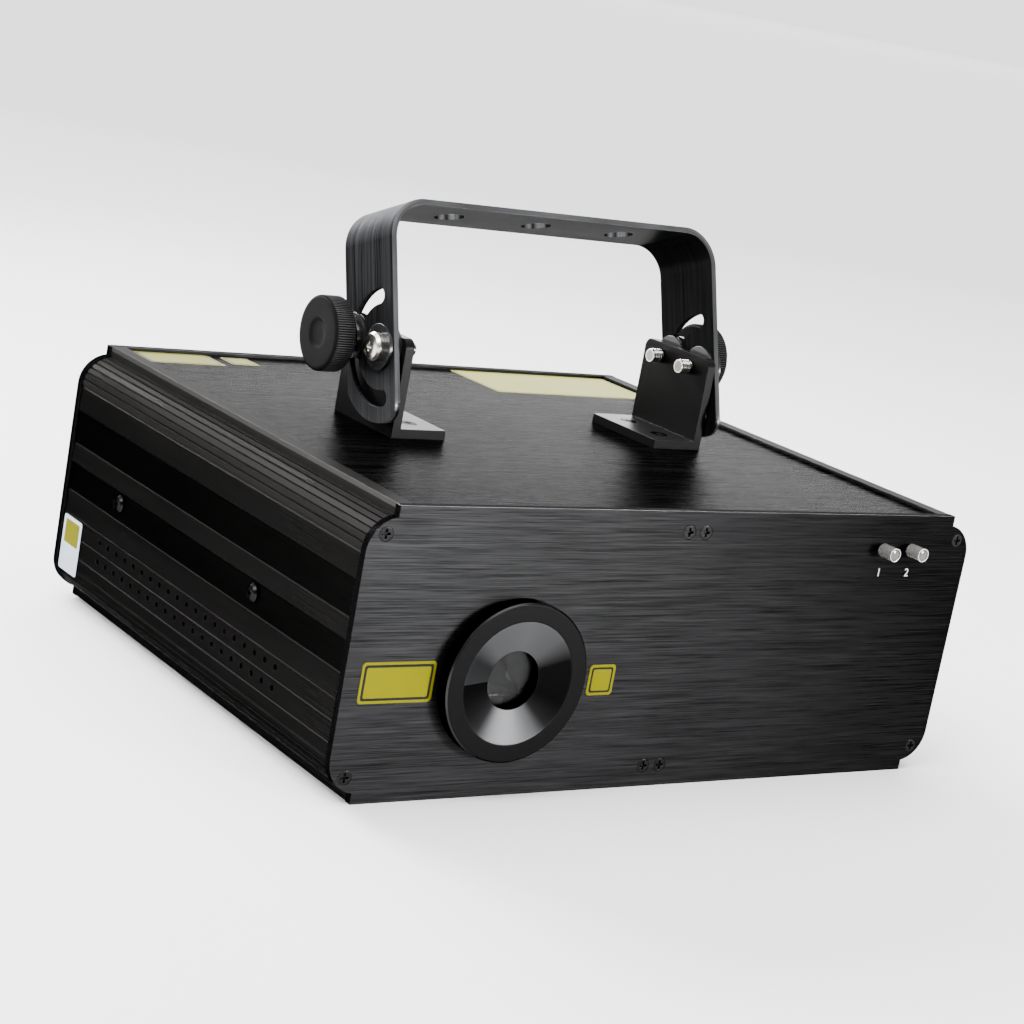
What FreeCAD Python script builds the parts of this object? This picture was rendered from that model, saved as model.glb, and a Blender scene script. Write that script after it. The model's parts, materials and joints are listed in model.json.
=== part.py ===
import FreeCAD, Part
import Sketcher
import math
import os
import re

# Laser show projector: X right, Y towards the rear, Z up, in millimetres.
# The origin lies on the ground under the middle of the housing.
sizes = {
    # Housing
    "housing_width": 303.2, "shoulder_width": 11.6, "housing_height": 115.0, "housing_depth": 251.0,
    "plate_thick": 3.5, "shoulder_drop": 4.2, "corner_radius": 13.7,
    "corner_screw_edge": 7.4, "corner_screw_drop": 10.75,
    "middle_screw_x": 4.2, "middle_screw_drop": 8.7,
    # Side profiles
    "skin_inset": 0.6, "wall_thick": 3.4, "rail_width": 6.4, "boss_width": 9.0, "boss_rise": 12.3,
    "rib_groove_angle": 1.7, "rib_groove_depth": 0.7,
    "lip_drop": 1.3, "upper_bright_share": 0.1225, "upper_dark_share": 0.1907,
    "lower_bright_share": 0.101, "lower_dark_share": 0.1641,
    "lowest_band_share": 0.0619, "bead_share": 0.1061, "bead_rise": 0.4, "bead_width": 0.5, "band_depth": 0.5,
    "vent_radius": 1.3, "vent_pitch_share": 0.03347, "vent_count": 20, "vent_start_share": 0.2008,
    "vent_lift_share": 0.583,
    "side_screw_front_share": 0.2956, "side_screw_rear_share": 0.7781, "side_screw_drop_share": 0.4937,
    # Top and bottom panels
    "panel_recess": 1.2, "panel_thick": 2.0, "panel_tuck": 4.0, "groove_gap": 0.2,
    "ledge_thick": 2.0, "ledge_reach": 1.5, "block_width": 24.0, "block_depth": 10.0,
    # Screws of three sizes, fits and threads
    "small_shank": 1.5, "small_head": 3.0, "small_length": 11.0,
    "medium_shank": 2.0, "medium_head": 4.0, "medium_head_rise": 2.6, "medium_length": 9.0,
    "large_shank": 3.0, "large_head": 6.0, "large_head_rise": 2.8,
    "thread_gap": 0.05, "hole_gap": 0.15, "slide_gap": 0.05, "running_gap": 0.08,
    "cross_width": 0.9, "cross_depth": 1.1,
    # Brackets and yoke
    "bracket_face": 81.2, "bracket_thick": 4.0, "bracket_foot": 26.0, "bracket_depth": 46.5,
    "bracket_rise": 41.0, "bracket_front": 104.0, "bracket_round": 4.0,
    "foot_screw_inset": 14.7, "foot_screw_pitch": 23.0, "foot_screw_head": 3.9, "nut_flat": 7.0,
    "nut_thick": 3.2,
    "pivot_depth": 116.3, "pivot_rise": 35.0,
    "yoke_gap": 1.7, "strap_thick": 2.4, "yoke_top": 60.5, "yoke_bend": 16.5, "yoke_lean": 20.0,
    "strap_front": 9.9, "strap_rear": 26.3, "arm_end": 31.0, "arm_round": 8.0,
    "slot_reach": 21.0, "slot_width": 6.6, "strap_hole": 6.5, "strap_hole_pitch": 45.0,
    "washer_radius": 9.5, "washer_thick": 1.6, "spring_washer_radius": 5.7, "spring_washer_thick": 1.2,
    "stud_radius": 2.95, "stud_out": 7.0,
    # Clamp knobs
    "knob_radius": 15.7, "knob_thick": 9.9, "knob_edge": 0.9, "neck_radius": 6.6, "neck_length": 5.5,
    "collar_radius": 5.4, "collar_thick": 1.2, "dimple_radius": 6.0, "dimple_depth": 1.1, "stud_bury": 9.0,
    # Aperture
    "aperture_share": 0.25825, "aperture_z": 47.8, "ring_radius": 32.0, "ring_proud": 6.3, "ring_edge": 0.7,
    "rim_inner": 24.7, "dish_inner": 11.6, "dish_depth": 3.5, "spigot_radius": 16.9, "spigot_length": 5.5,
    "window_radius": 13.9, "window_thick": 2.0, "window_set": 0.5, "ring_nut_radius": 22.0,
    # Indicator lamps
    "lamp_edge": 41.4, "lamp_pitch": 16.1, "lamp_drop": 15.2, "bezel_radius": 2.9, "bezel_wall": 0.35,
    "bezel_proud": 7.5, "bezel_tail": 7.0, "lamp_recess": 0.7, "lamp_tail": 9.0,
    "lamp_nut_radius": 5.0, "lamp_nut_thick": 2.2,
    # Mains inlet and fuse drawer
    "inlet_share": 0.36939, "inlet_lift": 6.0, "inlet_width": 28.0, "inlet_height": 33.0,
    "inlet_inside": 24.0,
    "inlet_rim": 1.7,
    "inlet_flange_width": 50.0, "flange_thick": 2.5, "inlet_screw_pitch": 40.0,
    "socket_width": 24.6, "socket_height": 16.6, "socket_depth": 16.0, "socket_lift": 6.0,
    "drawer_width": 22.0, "drawer_height": 7.0, "drawer_depth": 19.0, "drawer_drop": 10.0, "drawer_gap": 0.3,
    "drawer_grip": 2.0, "blade_width": 2.0, "blade_height": 4.0, "blade_pitch": 7.0, "blade_set": 5.0,
    "earth_lift": 4.0,
    # Data connectors
    "data_share": 0.09895, "data_spacing": 2.0, "data_flange_width": 26.0, "data_flange_height": 31.0,
    "data_body": 11.8, "data_inside": 20.0, "data_cavity": 9.3, "data_cavity_depth": 14.0,
    "data_pin": 1.0, "data_pin_ring": 3.6, "data_pin_set": 5.0, "data_hole": 1.3, "data_hole_depth": 10.0,
    "data_screw_x": 9.5, "data_screw_z": 12.0,
    # Key switch
    "key_body": 9.0, "key_inside": 22.0, "key_bezel": 11.0, "key_bezel_rise": 5.5,
    "barrel_radius": 6.0, "barrel_proud": 7.5, "barrel_length": 20.0, "keyhole_width": 1.6,
    "keyhole_height": 8.0,
    "keyhole_depth": 12.0,
    # Display and menu buttons
    "display_share": 0.05277, "display_drop": 27.0, "display_width": 40.0, "display_height": 15.0,
    "display_lip": 2.0,
    "display_lip_thick": 1.5, "button_drop": 47.0, "button_pitch": 14.0, "button_radius": 3.0,
    "button_gap": 0.3, "button_proud": 2.5, "button_flange": 4.2, "button_flange_thick": 1.0,
    "button_stem": 1.6, "button_travel": 0.8,
    # Fan
    "fan_share": 0.31662, "fan_lift": 8.5, "fan_width": 60.0, "fan_thick": 15.0, "fan_bore": 28.5,
    "fan_hub": 13.0,
    "fan_strut": 4.0, "fan_base": 3.0, "fan_screw": 25.0, "rotor_hub": 13.5, "rotor_tip": 27.5,
    "rotor_gap": 0.5, "blade_count": 7, "blade_thick": 1.5, "blade_slant": 35.0,
    "guard_wire": 0.9, "guard_pitch": 7.0, "guard_eye": 4.0,
    # Tray and optics
    "tray_thick": 3.0, "tray_end_gap": 12.0, "tab_width": 20.0, "tab_over": 8.0,
    "laser_gap": 2.5, "scan_lift": 25.6, "scan_mirror_width": 24.0, "scan_mirror_height": 28.0,
    "fold_mirror_size": 13.0, "mirror_thick": 1.6, "shaft_radius": 1.5, "shaft_length": 16.0,
    "motor_radius": 10.0, "motor_length": 30.0, "motor_set": 16.0, "fold_motor_set": 14.0, "motor_wall": 4.0,
    "motor_grip": 20.0,
    "laser_width": 24.0, "laser_length": 58.0, "laser_barrel": 6.0, "laser_nose": 10.0, "laser_foot": 20.0,
    "red_share": 0.07916, "blue_share": -0.02639, "green_share": 0.20449, "laser_back": 36.0,
    "filter_size": 16.0, "filter_thick": 1.5, "post_radius": 4.0,
    # Circuit boards
    "board_thick": 1.6, "standoff_height": 8.0, "standoff_radius": 3.0, "standoff_inset": 5.0,
    "control_height": 44.0, "control_drop": 38.0, "switch_size": 6.0,
    "switch_gap": 2.0,
    "supply_edge": 17.6, "supply_gap": 8.0, "supply_width": 84.0, "supply_length": 104.0,
    "core_width": 40.0, "core_height": 34.0, "sink_width": 60.0, "sink_height": 26.0, "sink_thick": 6.0,
    "driver_edge": 22.6, "driver_gap": 40.0, "driver_width": 90.0, "driver_length": 80.0, "chip_height": 12.0,
}

# Lengths and places that follow from the sizes
derived = {
    "deck_width": "housing_width - 2*shoulder_width",
    "flat_height": "housing_height - 2*shoulder_drop - 2*corner_radius",
    "upper_bright_band": "upper_bright_share*flat_height", "upper_dark_band": "upper_dark_share*flat_height",
    "lower_bright_band": "lower_bright_share*flat_height", "lower_dark_band": "lower_dark_share*flat_height",
    "lowest_band": "lowest_band_share*flat_height", "bead_pitch": "bead_share*flat_height",
    "vent_lift": "vent_lift_share*bead_pitch", "vent_pitch": "vent_pitch_share*housing_depth",
    "vent_start": "vent_start_share*housing_depth",
    "side_screw_front": "side_screw_front_share*housing_depth",
    "side_screw_rear": "side_screw_rear_share*housing_depth",
    "side_screw_drop": "side_screw_drop_share*flat_height",
    "tray_top": "shoulder_drop + boss_rise + tray_thick",
    "wall_face": "housing_width/2 - skin_inset - wall_thick",
    "aperture_x": "aperture_share*housing_width", "lamp_x": "housing_width/2 - lamp_edge",
    "inlet_x": "inlet_share*housing_width", "inlet_z": "tray_top + inlet_lift + inlet_height/2",
    "data_out_x": "data_share*housing_width", "data_in_x": "data_out_x + data_flange_width + data_spacing",
    "data_z": "inlet_z", "key_x": "inlet_x",
    "key_z": "(inlet_z + inlet_height/2 + inlet_rim + housing_height - panel_recess - panel_thick)/2",
    "display_x": "display_share*housing_width",
    "control_width": "display_width + 2*display_lip + 4*standoff_inset",
    "fan_x": "fan_share*housing_width", "fan_z": "tray_top + fan_lift + fan_width/2",
    "scan_depth": "plate_thick + laser_gap + laser_width/2",
    "laser_red_x": "red_share*housing_width", "laser_blue_x": "blue_share*housing_width",
    "laser_green_x": "green_share*housing_width",
    "supply_x": "wall_face - supply_edge - supply_width/2",
    "supply_y": "housing_depth/2 - plate_thick - fan_thick - supply_gap - supply_length/2",
    "driver_x": "wall_face - driver_edge - driver_width/2",
    "driver_y": "housing_depth/2 - plate_thick - driver_gap - driver_length/2",
}

document = FreeCAD.newDocument("laser_projector")
sheet = document.addObject("Spreadsheet::Sheet", "Sizes")
for row, (name, number) in enumerate(sizes.items(), 1):
    sheet.set(f"A{row}", name)
    sheet.set(f"B{row}", str(number))
    sheet.setAlias(f"B{row}", name)
document.recompute()

facing = {
    "+X": FreeCAD.Rotation(FreeCAD.Vector(0, 1, 0), 90),
    "-X": FreeCAD.Rotation(FreeCAD.Vector(0, 1, 0), -90),
    "+Y": FreeCAD.Rotation(FreeCAD.Vector(1, 0, 0), -90),
    "-Y": FreeCAD.Rotation(FreeCAD.Vector(1, 0, 0), 90),
    "+Z": FreeCAD.Rotation(),
    "-Z": FreeCAD.Rotation(FreeCAD.Vector(1, 0, 0), 180),
}
nodes = []


def spelled(word):
    if word in derived:
        return f"({bound(derived[word])})"
    return "Sizes." + word if word in sizes else word


def bound(text):
    return re.sub(r"\b[a-z][a-z0-9_]*\b", lambda found: spelled(found[0]), str(text))


def value(text):
    return float(sheet.evalExpression(bound(text)))


def bind(item, **texts):
    for name, text in texts.items():
        item.setExpression(name, bound(text))


def put(item, place, axis="+Z", spin=0):
    turn = facing[axis].multiply(FreeCAD.Rotation(FreeCAD.Vector(0, 0, 1), spin))
    item.Placement = FreeCAD.Placement(FreeCAD.Vector(), turn)
    for letter, text in zip("xyz", place):
        item.setExpression("Placement.Base." + letter, bound(text))
    return item


def node(item):
    nodes.append(item)
    return item


def box(name, centre, size):
    item = document.addObject("Part::Box", name)
    bind(item, Length=size[0], Width=size[1], Height=size[2])
    return put(item, [f"({middle}) - ({length})/2" for middle, length in zip(centre, size)])


def rod(name, start, axis, radius, length):
    item = document.addObject("Part::Cylinder", name)
    bind(item, Radius=radius, Height=length)
    return put(item, start, axis)


def fuse(name, *parts):
    item = document.addObject("Part::MultiFuse", name)
    item.Shapes = list(parts)
    return item


def group(name, *parts):
    item = document.addObject("Part::Compound", name)
    item.Links = list(parts)
    return item


def cut(name, base, *tools):
    item = document.addObject("Part::Cut", name)
    item.Base = base
    item.Tool = tools[0] if len(tools) == 1 else fuse(name + "_tools", *tools)
    return item


def common(name, first, second):
    item = document.addObject("Part::Common", name)
    item.Base = first
    item.Tool = second
    return item


def link(name, original, place, axis="+Z", spin=0):
    item = document.addObject("App::Link", name)
    item.LinkedObject = original
    return put(item, place, axis, spin)


def copies(name, original, places, axis="+Z"):
    return group(name, *[link(f"{name}_{index}", original, place, axis)
                         for index, place in enumerate(places)])


def edge(start, end, radius=None, sense=1):
    if radius is None:
        return Part.LineSegment(start, end)
    chord = end - start
    reach = math.sqrt(max(radius ** 2 - chord.Length ** 2 / 4, 0))
    side = FreeCAD.Vector(-chord.y, chord.x, 0).normalize() * sense
    centre = (start + end) * 0.5 + side * reach
    ends = (start, end) if sense > 0 else (end, start)
    angles = [math.atan2(point.y - centre.y, point.x - centre.x) for point in ends]
    return Part.ArcOfCircle(Part.Circle(centre, FreeCAD.Vector(0, 0, 1), radius), *angles)


# A closed outline is a list of points (x, y); a point (x, y, radius, sense) starts an arc to the next one.
def sketch(body, plane, outlines=(), circles=()):
    drawing = body.newObject("Sketcher::SketchObject", body.Name + "_sketch")
    planes = {item.Role: item for item in body.Origin.OriginFeatures}
    drawing.AttachmentSupport = [(planes[plane + "_Plane"], "")]
    drawing.MapMode = "FlatFace"
    shapes, limits, texts = [], [], {}

    def measure(kind, text, *where):
        texts[len(limits)] = text
        limits.append(Sketcher.Constraint(kind, *where, value(text)))

    for outline in outlines:
        first = len(shapes)
        points = [FreeCAD.Vector(value(point[0]), value(point[1]), 0) for point in outline]
        starts = [1 if len(point) < 4 or point[3] > 0 else 2 for point in outline]
        for index, point in enumerate(outline):
            after = (index + 1) % len(outline)
            bend = (value(point[2]), point[3]) if len(point) == 4 else ()
            shapes.append(edge(points[index], points[after], *bend))
            limits.append(Sketcher.Constraint("Coincident", first + index, 3 - starts[index],
                                              first + after, starts[after]))
            measure("DistanceX", point[0], -1, 1, first + index, starts[index])
            measure("DistanceY", point[1], -1, 1, first + index, starts[index])
            if bend:
                measure("Radius", point[2], first + index)
    for across, up, radius in circles:
        measure("DistanceX", across, -1, 1, len(shapes), 3)
        measure("DistanceY", up, -1, 1, len(shapes), 3)
        measure("Radius", radius, len(shapes))
        middle = FreeCAD.Vector(value(across), value(up), 0)
        shapes.append(Part.Circle(middle, FreeCAD.Vector(0, 0, 1), value(radius)))
    drawing.addGeometry(shapes)
    drawing.addConstraint(limits)
    for index, text in texts.items():
        drawing.setExpression(f"Constraints[{index}]", bound(text))
    return drawing


# A padded plate: plane XZ grows towards the rear, YZ to the right and XY up.
def padded(name, plane, outlines, circles, thick, place):
    body = document.addObject("PartDesign::Body", name)
    pad = body.newObject("PartDesign::Pad", name + "_pad")
    pad.Profile = sketch(body, plane, outlines, circles)
    pad.Reversed = plane == "XZ"
    bind(pad, Length=thick)
    return put(body, place)


# A turned piece: points are (radius, height along the axis).
def turned(name, section, place=("0", "0", "0"), axis="+Z"):
    body = document.addObject("PartDesign::Body", name)
    turn = body.newObject("PartDesign::Revolution", name + "_turn")
    drawing = sketch(body, "XZ", [section])
    turn.Profile = drawing
    turn.ReferenceAxis = (drawing, ["V_Axis"])
    turn.Angle = 360
    return put(body, place, axis)


def rectangle(centre, size):
    across, up = centre
    wide, tall = f"({size[0]})/2", f"({size[1]})/2"
    return [(f"{across} - {wide}", f"{up} - {tall}"), (f"{across} + {wide}", f"{up} - {tall}"),
            (f"{across} + {wide}", f"{up} + {tall}"), (f"{across} - {wide}", f"{up} + {tall}")]


def tilted(name, centre, size, axis, angle):
    item = document.addObject("Part::Box", name)
    bind(item, Length=size[0], Width=size[1], Height=size[2])
    turn = FreeCAD.Rotation(axis, angle)
    item.Placement = FreeCAD.Placement(FreeCAD.Vector(), turn)
    ways = [turn.multVec(FreeCAD.Vector(*unit)) for unit in ((1, 0, 0), (0, 1, 0), (0, 0, 1))]
    for letter, middle in zip("xyz", centre):
        text = f"({middle})"
        for way, length in zip(ways, size):
            text += f" - {getattr(way, letter)}*({length})/2"
        item.setExpression("Placement.Base." + letter, bound(text))
    return item


def crossed(name, screw, top, axis_length="cross_depth"):
    arms = [box(name + "_slot", ("0", "0", f"{top}"), ("small_head*1.2", "cross_width", f"2*{axis_length}")),
            box(name + "_slot", ("0", "0", f"{top}"), ("cross_width", "small_head*1.2", f"2*{axis_length}"))]
    return cut(name, screw, *arms)


# Levels and faces that several pieces share
frontFace = "-housing_depth/2"
rearFace = "housing_depth/2"
frontInside = "(-housing_depth/2 + plate_thick)"
rearInside = "(housing_depth/2 - plate_thick)"
insideDepth = "(housing_depth - 2*plate_thick)"
cornerX = "(housing_width/2 - corner_radius)"
cornerTop = "(housing_height - shoulder_drop - corner_radius)"
cornerLow = "(shoulder_drop + corner_radius)"
skinX = "(housing_width/2 - skin_inset)"
wallX = "wall_face"
dropX = "(deck_width/2 - skin_inset)"
skinRadius = "(corner_radius - skin_inset)"
panelTop = "(housing_height - panel_recess)"
panelUnder = "(housing_height - panel_recess - panel_thick)"
panelHalf = f"({dropX} - rail_width + panel_tuck)"
screwX = "(housing_width/2 - corner_screw_edge)"

# Countersunk plate screw, head up, its flat at height zero
plateScrew = crossed("plate_screw", turned("plate_screw_blank", [
    ("0", "-small_length"), ("small_shank", "-small_length"),
    ("small_shank", "small_shank - small_head"), ("small_head", "0"), ("0", "0")]), "0")
plateHole = turned("plate_hole", [
    ("0", "-plate_thick - 1"), ("small_shank + hole_gap", "-plate_thick - 1"),
    ("small_shank + hole_gap", "small_shank - small_head"), ("small_head + hole_gap", "hole_gap"),
    ("small_head + hole_gap", "1"), ("0", "1")])
screwPlaces = [(f"{side}*{screwX}", level) for side in (-1, 1)
               for level in ("corner_screw_drop", "housing_height - corner_screw_drop")]
screwPlaces += [(f"{side}*middle_screw_x", level) for side in (-1, 1)
                for level in ("middle_screw_drop", "housing_height - middle_screw_drop")]
frontPlaces = [(across, frontFace, up) for across, up in screwPlaces]
rearPlaces = [(across, rearFace, up) for across, up in screwPlaces]
node(group("plate_screws", copies("front_screw_set", plateScrew, frontPlaces, "-Y"),
           copies("rear_screw_set", plateScrew, rearPlaces, "+Y")))

# Plates with a narrow deck and wide rounded shoulders
notch = f"sqrt(corner_radius^2 - (deck_width/2 - {cornerX})^2)"
plateOutline = [
    ("-deck_width/2", "0"), ("deck_width/2", "0"),
    ("deck_width/2", f"{cornerLow} - {notch}", "corner_radius", 1), ("housing_width/2", cornerLow),
    ("housing_width/2", cornerTop, "corner_radius", 1), ("deck_width/2", f"{cornerTop} + {notch}"),
    ("deck_width/2", "housing_height"), ("-deck_width/2", "housing_height"),
    ("-deck_width/2", f"{cornerTop} + {notch}", "corner_radius", 1), ("-housing_width/2", cornerTop),
    ("-housing_width/2", cornerLow, "corner_radius", 1), ("-deck_width/2", f"{cornerLow} - {notch}")]
lampPlaces = [(f"lamp_x + {side}*lamp_pitch/2", "housing_height - lamp_drop") for side in (-1, 1)]
frontBlank = padded("front_blank", "XZ", [plateOutline],
                    [("-aperture_x", "aperture_z", "spigot_radius + hole_gap")]
                    + [(across, up, "bezel_radius + hole_gap") for across, up in lampPlaces],
                    "plate_thick", ("0", frontFace, "0"))
node(cut("front_plate", frontBlank, copies("front_holes", plateHole, frontPlaces, "-Y")))

dataCentres = [("-data_in_x", "data_z"), ("-data_out_x", "data_z")]
connectorScrews = [(f"{across} + {side}*data_screw_x", f"{up} + {side}*data_screw_z")
                   for across, up in dataCentres for side in (-1, 1)]
connectorScrews += [(f"-inlet_x + {side}*inlet_screw_pitch/2", "inlet_z") for side in (-1, 1)]
fanScrews = [(f"fan_x + {side}*fan_screw", f"fan_z + {level}*fan_screw")
             for side in (-1, 1) for level in (-1, 1)]
buttonPlaces = [(f"display_x + {step}*button_pitch", "housing_height - button_drop")
                for step in (-1.5, -0.5, 0.5, 1.5)]
displayCentre = ("display_x", "housing_height - display_drop")
rearBlank = padded("rear_blank", "XZ", [
    plateOutline,
    rectangle(("-inlet_x", "inlet_z"), ("inlet_width + 2*hole_gap", "inlet_height + 2*hole_gap")),
    rectangle(displayCentre, ("display_width", "display_height"))],
    [(across, up, "data_body + hole_gap") for across, up in dataCentres]
    + [(across, up, "small_shank + thread_gap") for across, up in connectorScrews]
    + [(across, up, "medium_shank + hole_gap") for across, up in fanScrews]
    + [(across, up, "button_radius + button_gap") for across, up in buttonPlaces]
    + [("-key_x", "key_z", "key_body + hole_gap"), ("fan_x", "fan_z", "fan_bore")],
    "plate_thick", ("0", rearInside, "0"))
node(cut("rear_plate", rearBlank, copies("rear_holes", plateHole, rearPlaces, "+Y")))

# Side profile: a rail, a ribbed corner, stepped bands and beads, and the same corner below
ribStep = f"(acos(({dropX} - {cornerX})/{skinRadius})/(1 deg)/6.6)"


def onCorner(angle, inset, upper):
    level = cornerTop if upper else cornerLow
    return (f"{cornerX} + ({skinRadius} - {inset})*cos({angle})",
            f"{level} {'+' if upper else '-'} ({skinRadius} - {inset})*sin({angle})")


def corner(upper):
    level = "housing_height" if upper else "0"
    sign = "+" if upper else "-"
    middle = cornerTop if upper else cornerLow
    points = [(f"{dropX} - rail_width", level), (dropX, level),
              (dropX, f"{middle} {sign} sqrt({skinRadius}^2 - ({dropX} - {cornerX})^2)")]
    for rib in (6, 5, 4, 3, 2, 1, 0):
        angle = f"{rib}*{ribStep}"
        points += [onCorner(f"{angle} + rib_groove_angle", "0", upper),
                   onCorner(f"{angle} + rib_groove_angle/2", "rib_groove_depth", upper)]
        if rib:
            points += [onCorner(f"{angle} - rib_groove_angle/2", "rib_groove_depth", upper),
                       onCorner(f"{angle} - rib_groove_angle", "0", upper)]
    return points


def lining(upper):
    def up(rise):
        return f"housing_height - ({rise})" if upper else rise
    groove = f"{dropX} - rail_width + panel_tuck + groove_gap"
    lip = f"{dropX} - rail_width - ledge_reach"
    floor = "panel_recess + panel_thick + groove_gap/2"
    boss = f"{wallX} - boss_width"
    rise = f"{floor} + ledge_thick"
    return [(f"{dropX} - rail_width", up("panel_recess")), (groove, up("panel_recess")), (groove, up(floor)),
            (lip, up(floor)), (lip, up(rise)), (boss, up(rise)), (boss, up("shoulder_drop + boss_rise")),
            (wallX, up("shoulder_drop + boss_rise"))]


lip = f"({cornerTop} - lip_drop)"
crest = f"({cornerTop} - lip_drop - upper_bright_band)"
ledge = f"({cornerTop} - lip_drop - upper_bright_band - upper_dark_band)"
lowerCrest = f"({ledge} - lower_bright_band)"
lowerLedge = f"({ledge} - lower_bright_band - lower_dark_band)"
beads = [f"({cornerLow} + lowest_band + {step}*bead_pitch)" for step in (2, 1, 0)]
bandX = f"{skinX} - band_depth"
bands = [
    (f"{skinX} - rib_groove_depth", f"{lip} + band_depth"), (f"{skinX} - band_depth/2", lip),
    (skinX, crest), (bandX, f"{crest} - band_depth"),
    (bandX, f"{ledge} + band_depth"), (f"{skinX} - band_depth/3", ledge),
    (skinX, lowerCrest), (bandX, f"{lowerCrest} - band_depth"),
    (bandX, f"{lowerLedge} + band_depth"), (f"{skinX} - band_depth/3", lowerLedge),
    (bandX, f"{lowerLedge} - band_depth*4")]
for bead in beads:
    bands += [(bandX, f"{bead} + bead_width"), (f"{bandX} + bead_rise", f"{bead} + bead_width/2"),
              (f"{bandX} + bead_rise", f"{bead} - bead_width/2"), (bandX, f"{bead} - bead_width")]
profileOutline = corner(True) + bands + [(bandX, f"{cornerLow} + lip_drop")] + corner(False)[::-1]
profileOutline += lining(False) + lining(True)[::-1]
sideScrewZ = f"({cornerTop} - side_screw_drop)"
vents = [f"({cornerLow} + lowest_band + {step}*bead_pitch + vent_lift)" for step in (0, 1)]


def profile(name, outline, side):
    ports = [(f"{side}*{screwX}", level, "small_shank + thread_gap")
             for level in ("corner_screw_drop", "housing_height - corner_screw_drop")]
    body = padded(name, "XZ", [outline], ports, insideDepth, ("0", frontInside, "0"))
    offset = "plate_thick"
    pocket = body.newObject("PartDesign::Pocket", name + "_vents")
    pocket.Profile = sketch(body, "YZ", [],
                            [(f"vent_start - {offset}", level, "vent_radius") for level in vents])
    pocket.Type = "ThroughAll"
    pocket.Midplane = True
    row = body.newObject("PartDesign::LinearPattern", name + "_vent_row")
    row.Originals = [pocket]
    row.Direction = (pocket.Profile[0], ["H_Axis"])
    bind(row, Length="vent_pitch*(vent_count - 1)", Occurrences="vent_count")
    body.Tip = row
    bores = body.newObject("PartDesign::Pocket", name + "_bores")
    bores.Profile = sketch(body, "YZ", [], [(f"{place} - {offset}", sideScrewZ, "medium_shank + hole_gap")
                                            for place in ("side_screw_front", "side_screw_rear")])
    bores.Type = "ThroughAll"
    bores.Midplane = True
    return node(body)


leftProfile = document.addObject("Part::Mirroring", "side_profile_left")
leftProfile.Source = profile("side_profile_right", profileOutline, 1)
leftProfile.Normal = FreeCAD.Vector(1, 0, 0)
node(leftProfile)

# Pan-head side screws that hold the tray
panScrew = crossed("side_screw", turned("side_screw_blank", [
    ("0", "-medium_length"), ("medium_shank", "-medium_length"), ("medium_shank", "0"), ("medium_head", "0"),
    ("medium_head", "medium_head_rise*0.45"), ("medium_head*0.8", "medium_head_rise*0.85"),
    ("medium_head*0.5", "medium_head_rise"), ("0", "medium_head_rise")]), "medium_head_rise",
    "1.4*cross_depth")
sidePlaces = [(f"{frontFace} + {place}", sideScrewZ) for place in ("side_screw_front", "side_screw_rear")]
node(group("side_screws",
           copies("right_screw_set", panScrew, [(bandX, along, up) for along, up in sidePlaces], "+X"),
           copies("left_screw_set", panScrew, [(f"-({bandX})", along, up) for along, up in sidePlaces],
                  "-X")))

# Top panel slid into the rails' grooves, drilled for the bracket screws, and bottom panel
footScrews = [(f"{side}*(bracket_face - foot_screw_inset)",
               f"{frontFace} + bracket_front + bracket_depth/2 + {step}*foot_screw_pitch/2")
              for side in (-1, 1) for step in (-1, 1)]
panelSize = (f"2*{panelHalf}", insideDepth, "panel_thick")
topBlank = box("top_blank", ("0", "0", f"{panelTop} - panel_thick/2"), panelSize)
footHole = rod("foot_hole", ("0", "0", "0"), "+Z", "medium_shank + hole_gap", "panel_thick + 2")
footHoles = copies("foot_holes", footHole, [(x, y, f"{panelUnder} - 1") for x, y in footScrews])
node(cut("top_panel", topBlank, footHoles))
node(box("bottom_panel", ("0", "0", "panel_recess + panel_thick/2"), panelSize))

# Blocks behind the middle plate screws
blockRise = "(2*(middle_screw_drop - panel_recess - panel_thick))"
blocks = []
for inside, inward, end in ((frontInside, "+", "front"), (rearInside, "-", "rear")):
    for level in ("middle_screw_drop", "housing_height - middle_screw_drop"):
        blank = box(f"{end}_block", ("0", f"{inside} {inward} block_depth/2", level),
                    ("block_width", "block_depth", blockRise))
        start = f"{inside} {inward} block_depth/2 - block_depth"
        drills = [rod(f"{end}_block_drill", (f"{side}*middle_screw_x", start, level), "+Y",
                      "small_shank + thread_gap", "2*block_depth") for side in (-1, 1)]
        blocks.append(cut(f"{end}_block_drilled", blank, *drills))
node(group("panel_blocks", *blocks))

# Brackets on the top panel
pivotY = f"({frontFace} + pivot_depth)"
pivotZ = f"({panelTop} + pivot_rise)"
clampY = f"({frontFace} + pivot_depth + slot_reach)"
bracketY = f"({frontFace} + bracket_front + bracket_depth/2)"
footCone = turned("foot_cone", [
    ("0", "-bracket_thick - 1"), ("medium_shank + hole_gap", "-bracket_thick - 1"),
    ("medium_shank + hole_gap", "medium_shank - foot_screw_head"), ("foot_screw_head + hole_gap", "hole_gap"),
    ("foot_screw_head + hole_gap", "1"), ("0", "1")])
low, high = f"{frontFace} + bracket_front", f"{frontFace} + bracket_front + bracket_depth"
crown = f"{panelTop} + bracket_rise"
uprightOutline = [
    (low, panelTop), (high, panelTop), (high, f"{crown} - bracket_round", "bracket_round", 1),
    (f"{high} - bracket_round", crown), (f"{low} + bracket_round", crown, "bracket_round", 1),
    (low, f"{crown} - bracket_round")]
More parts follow.
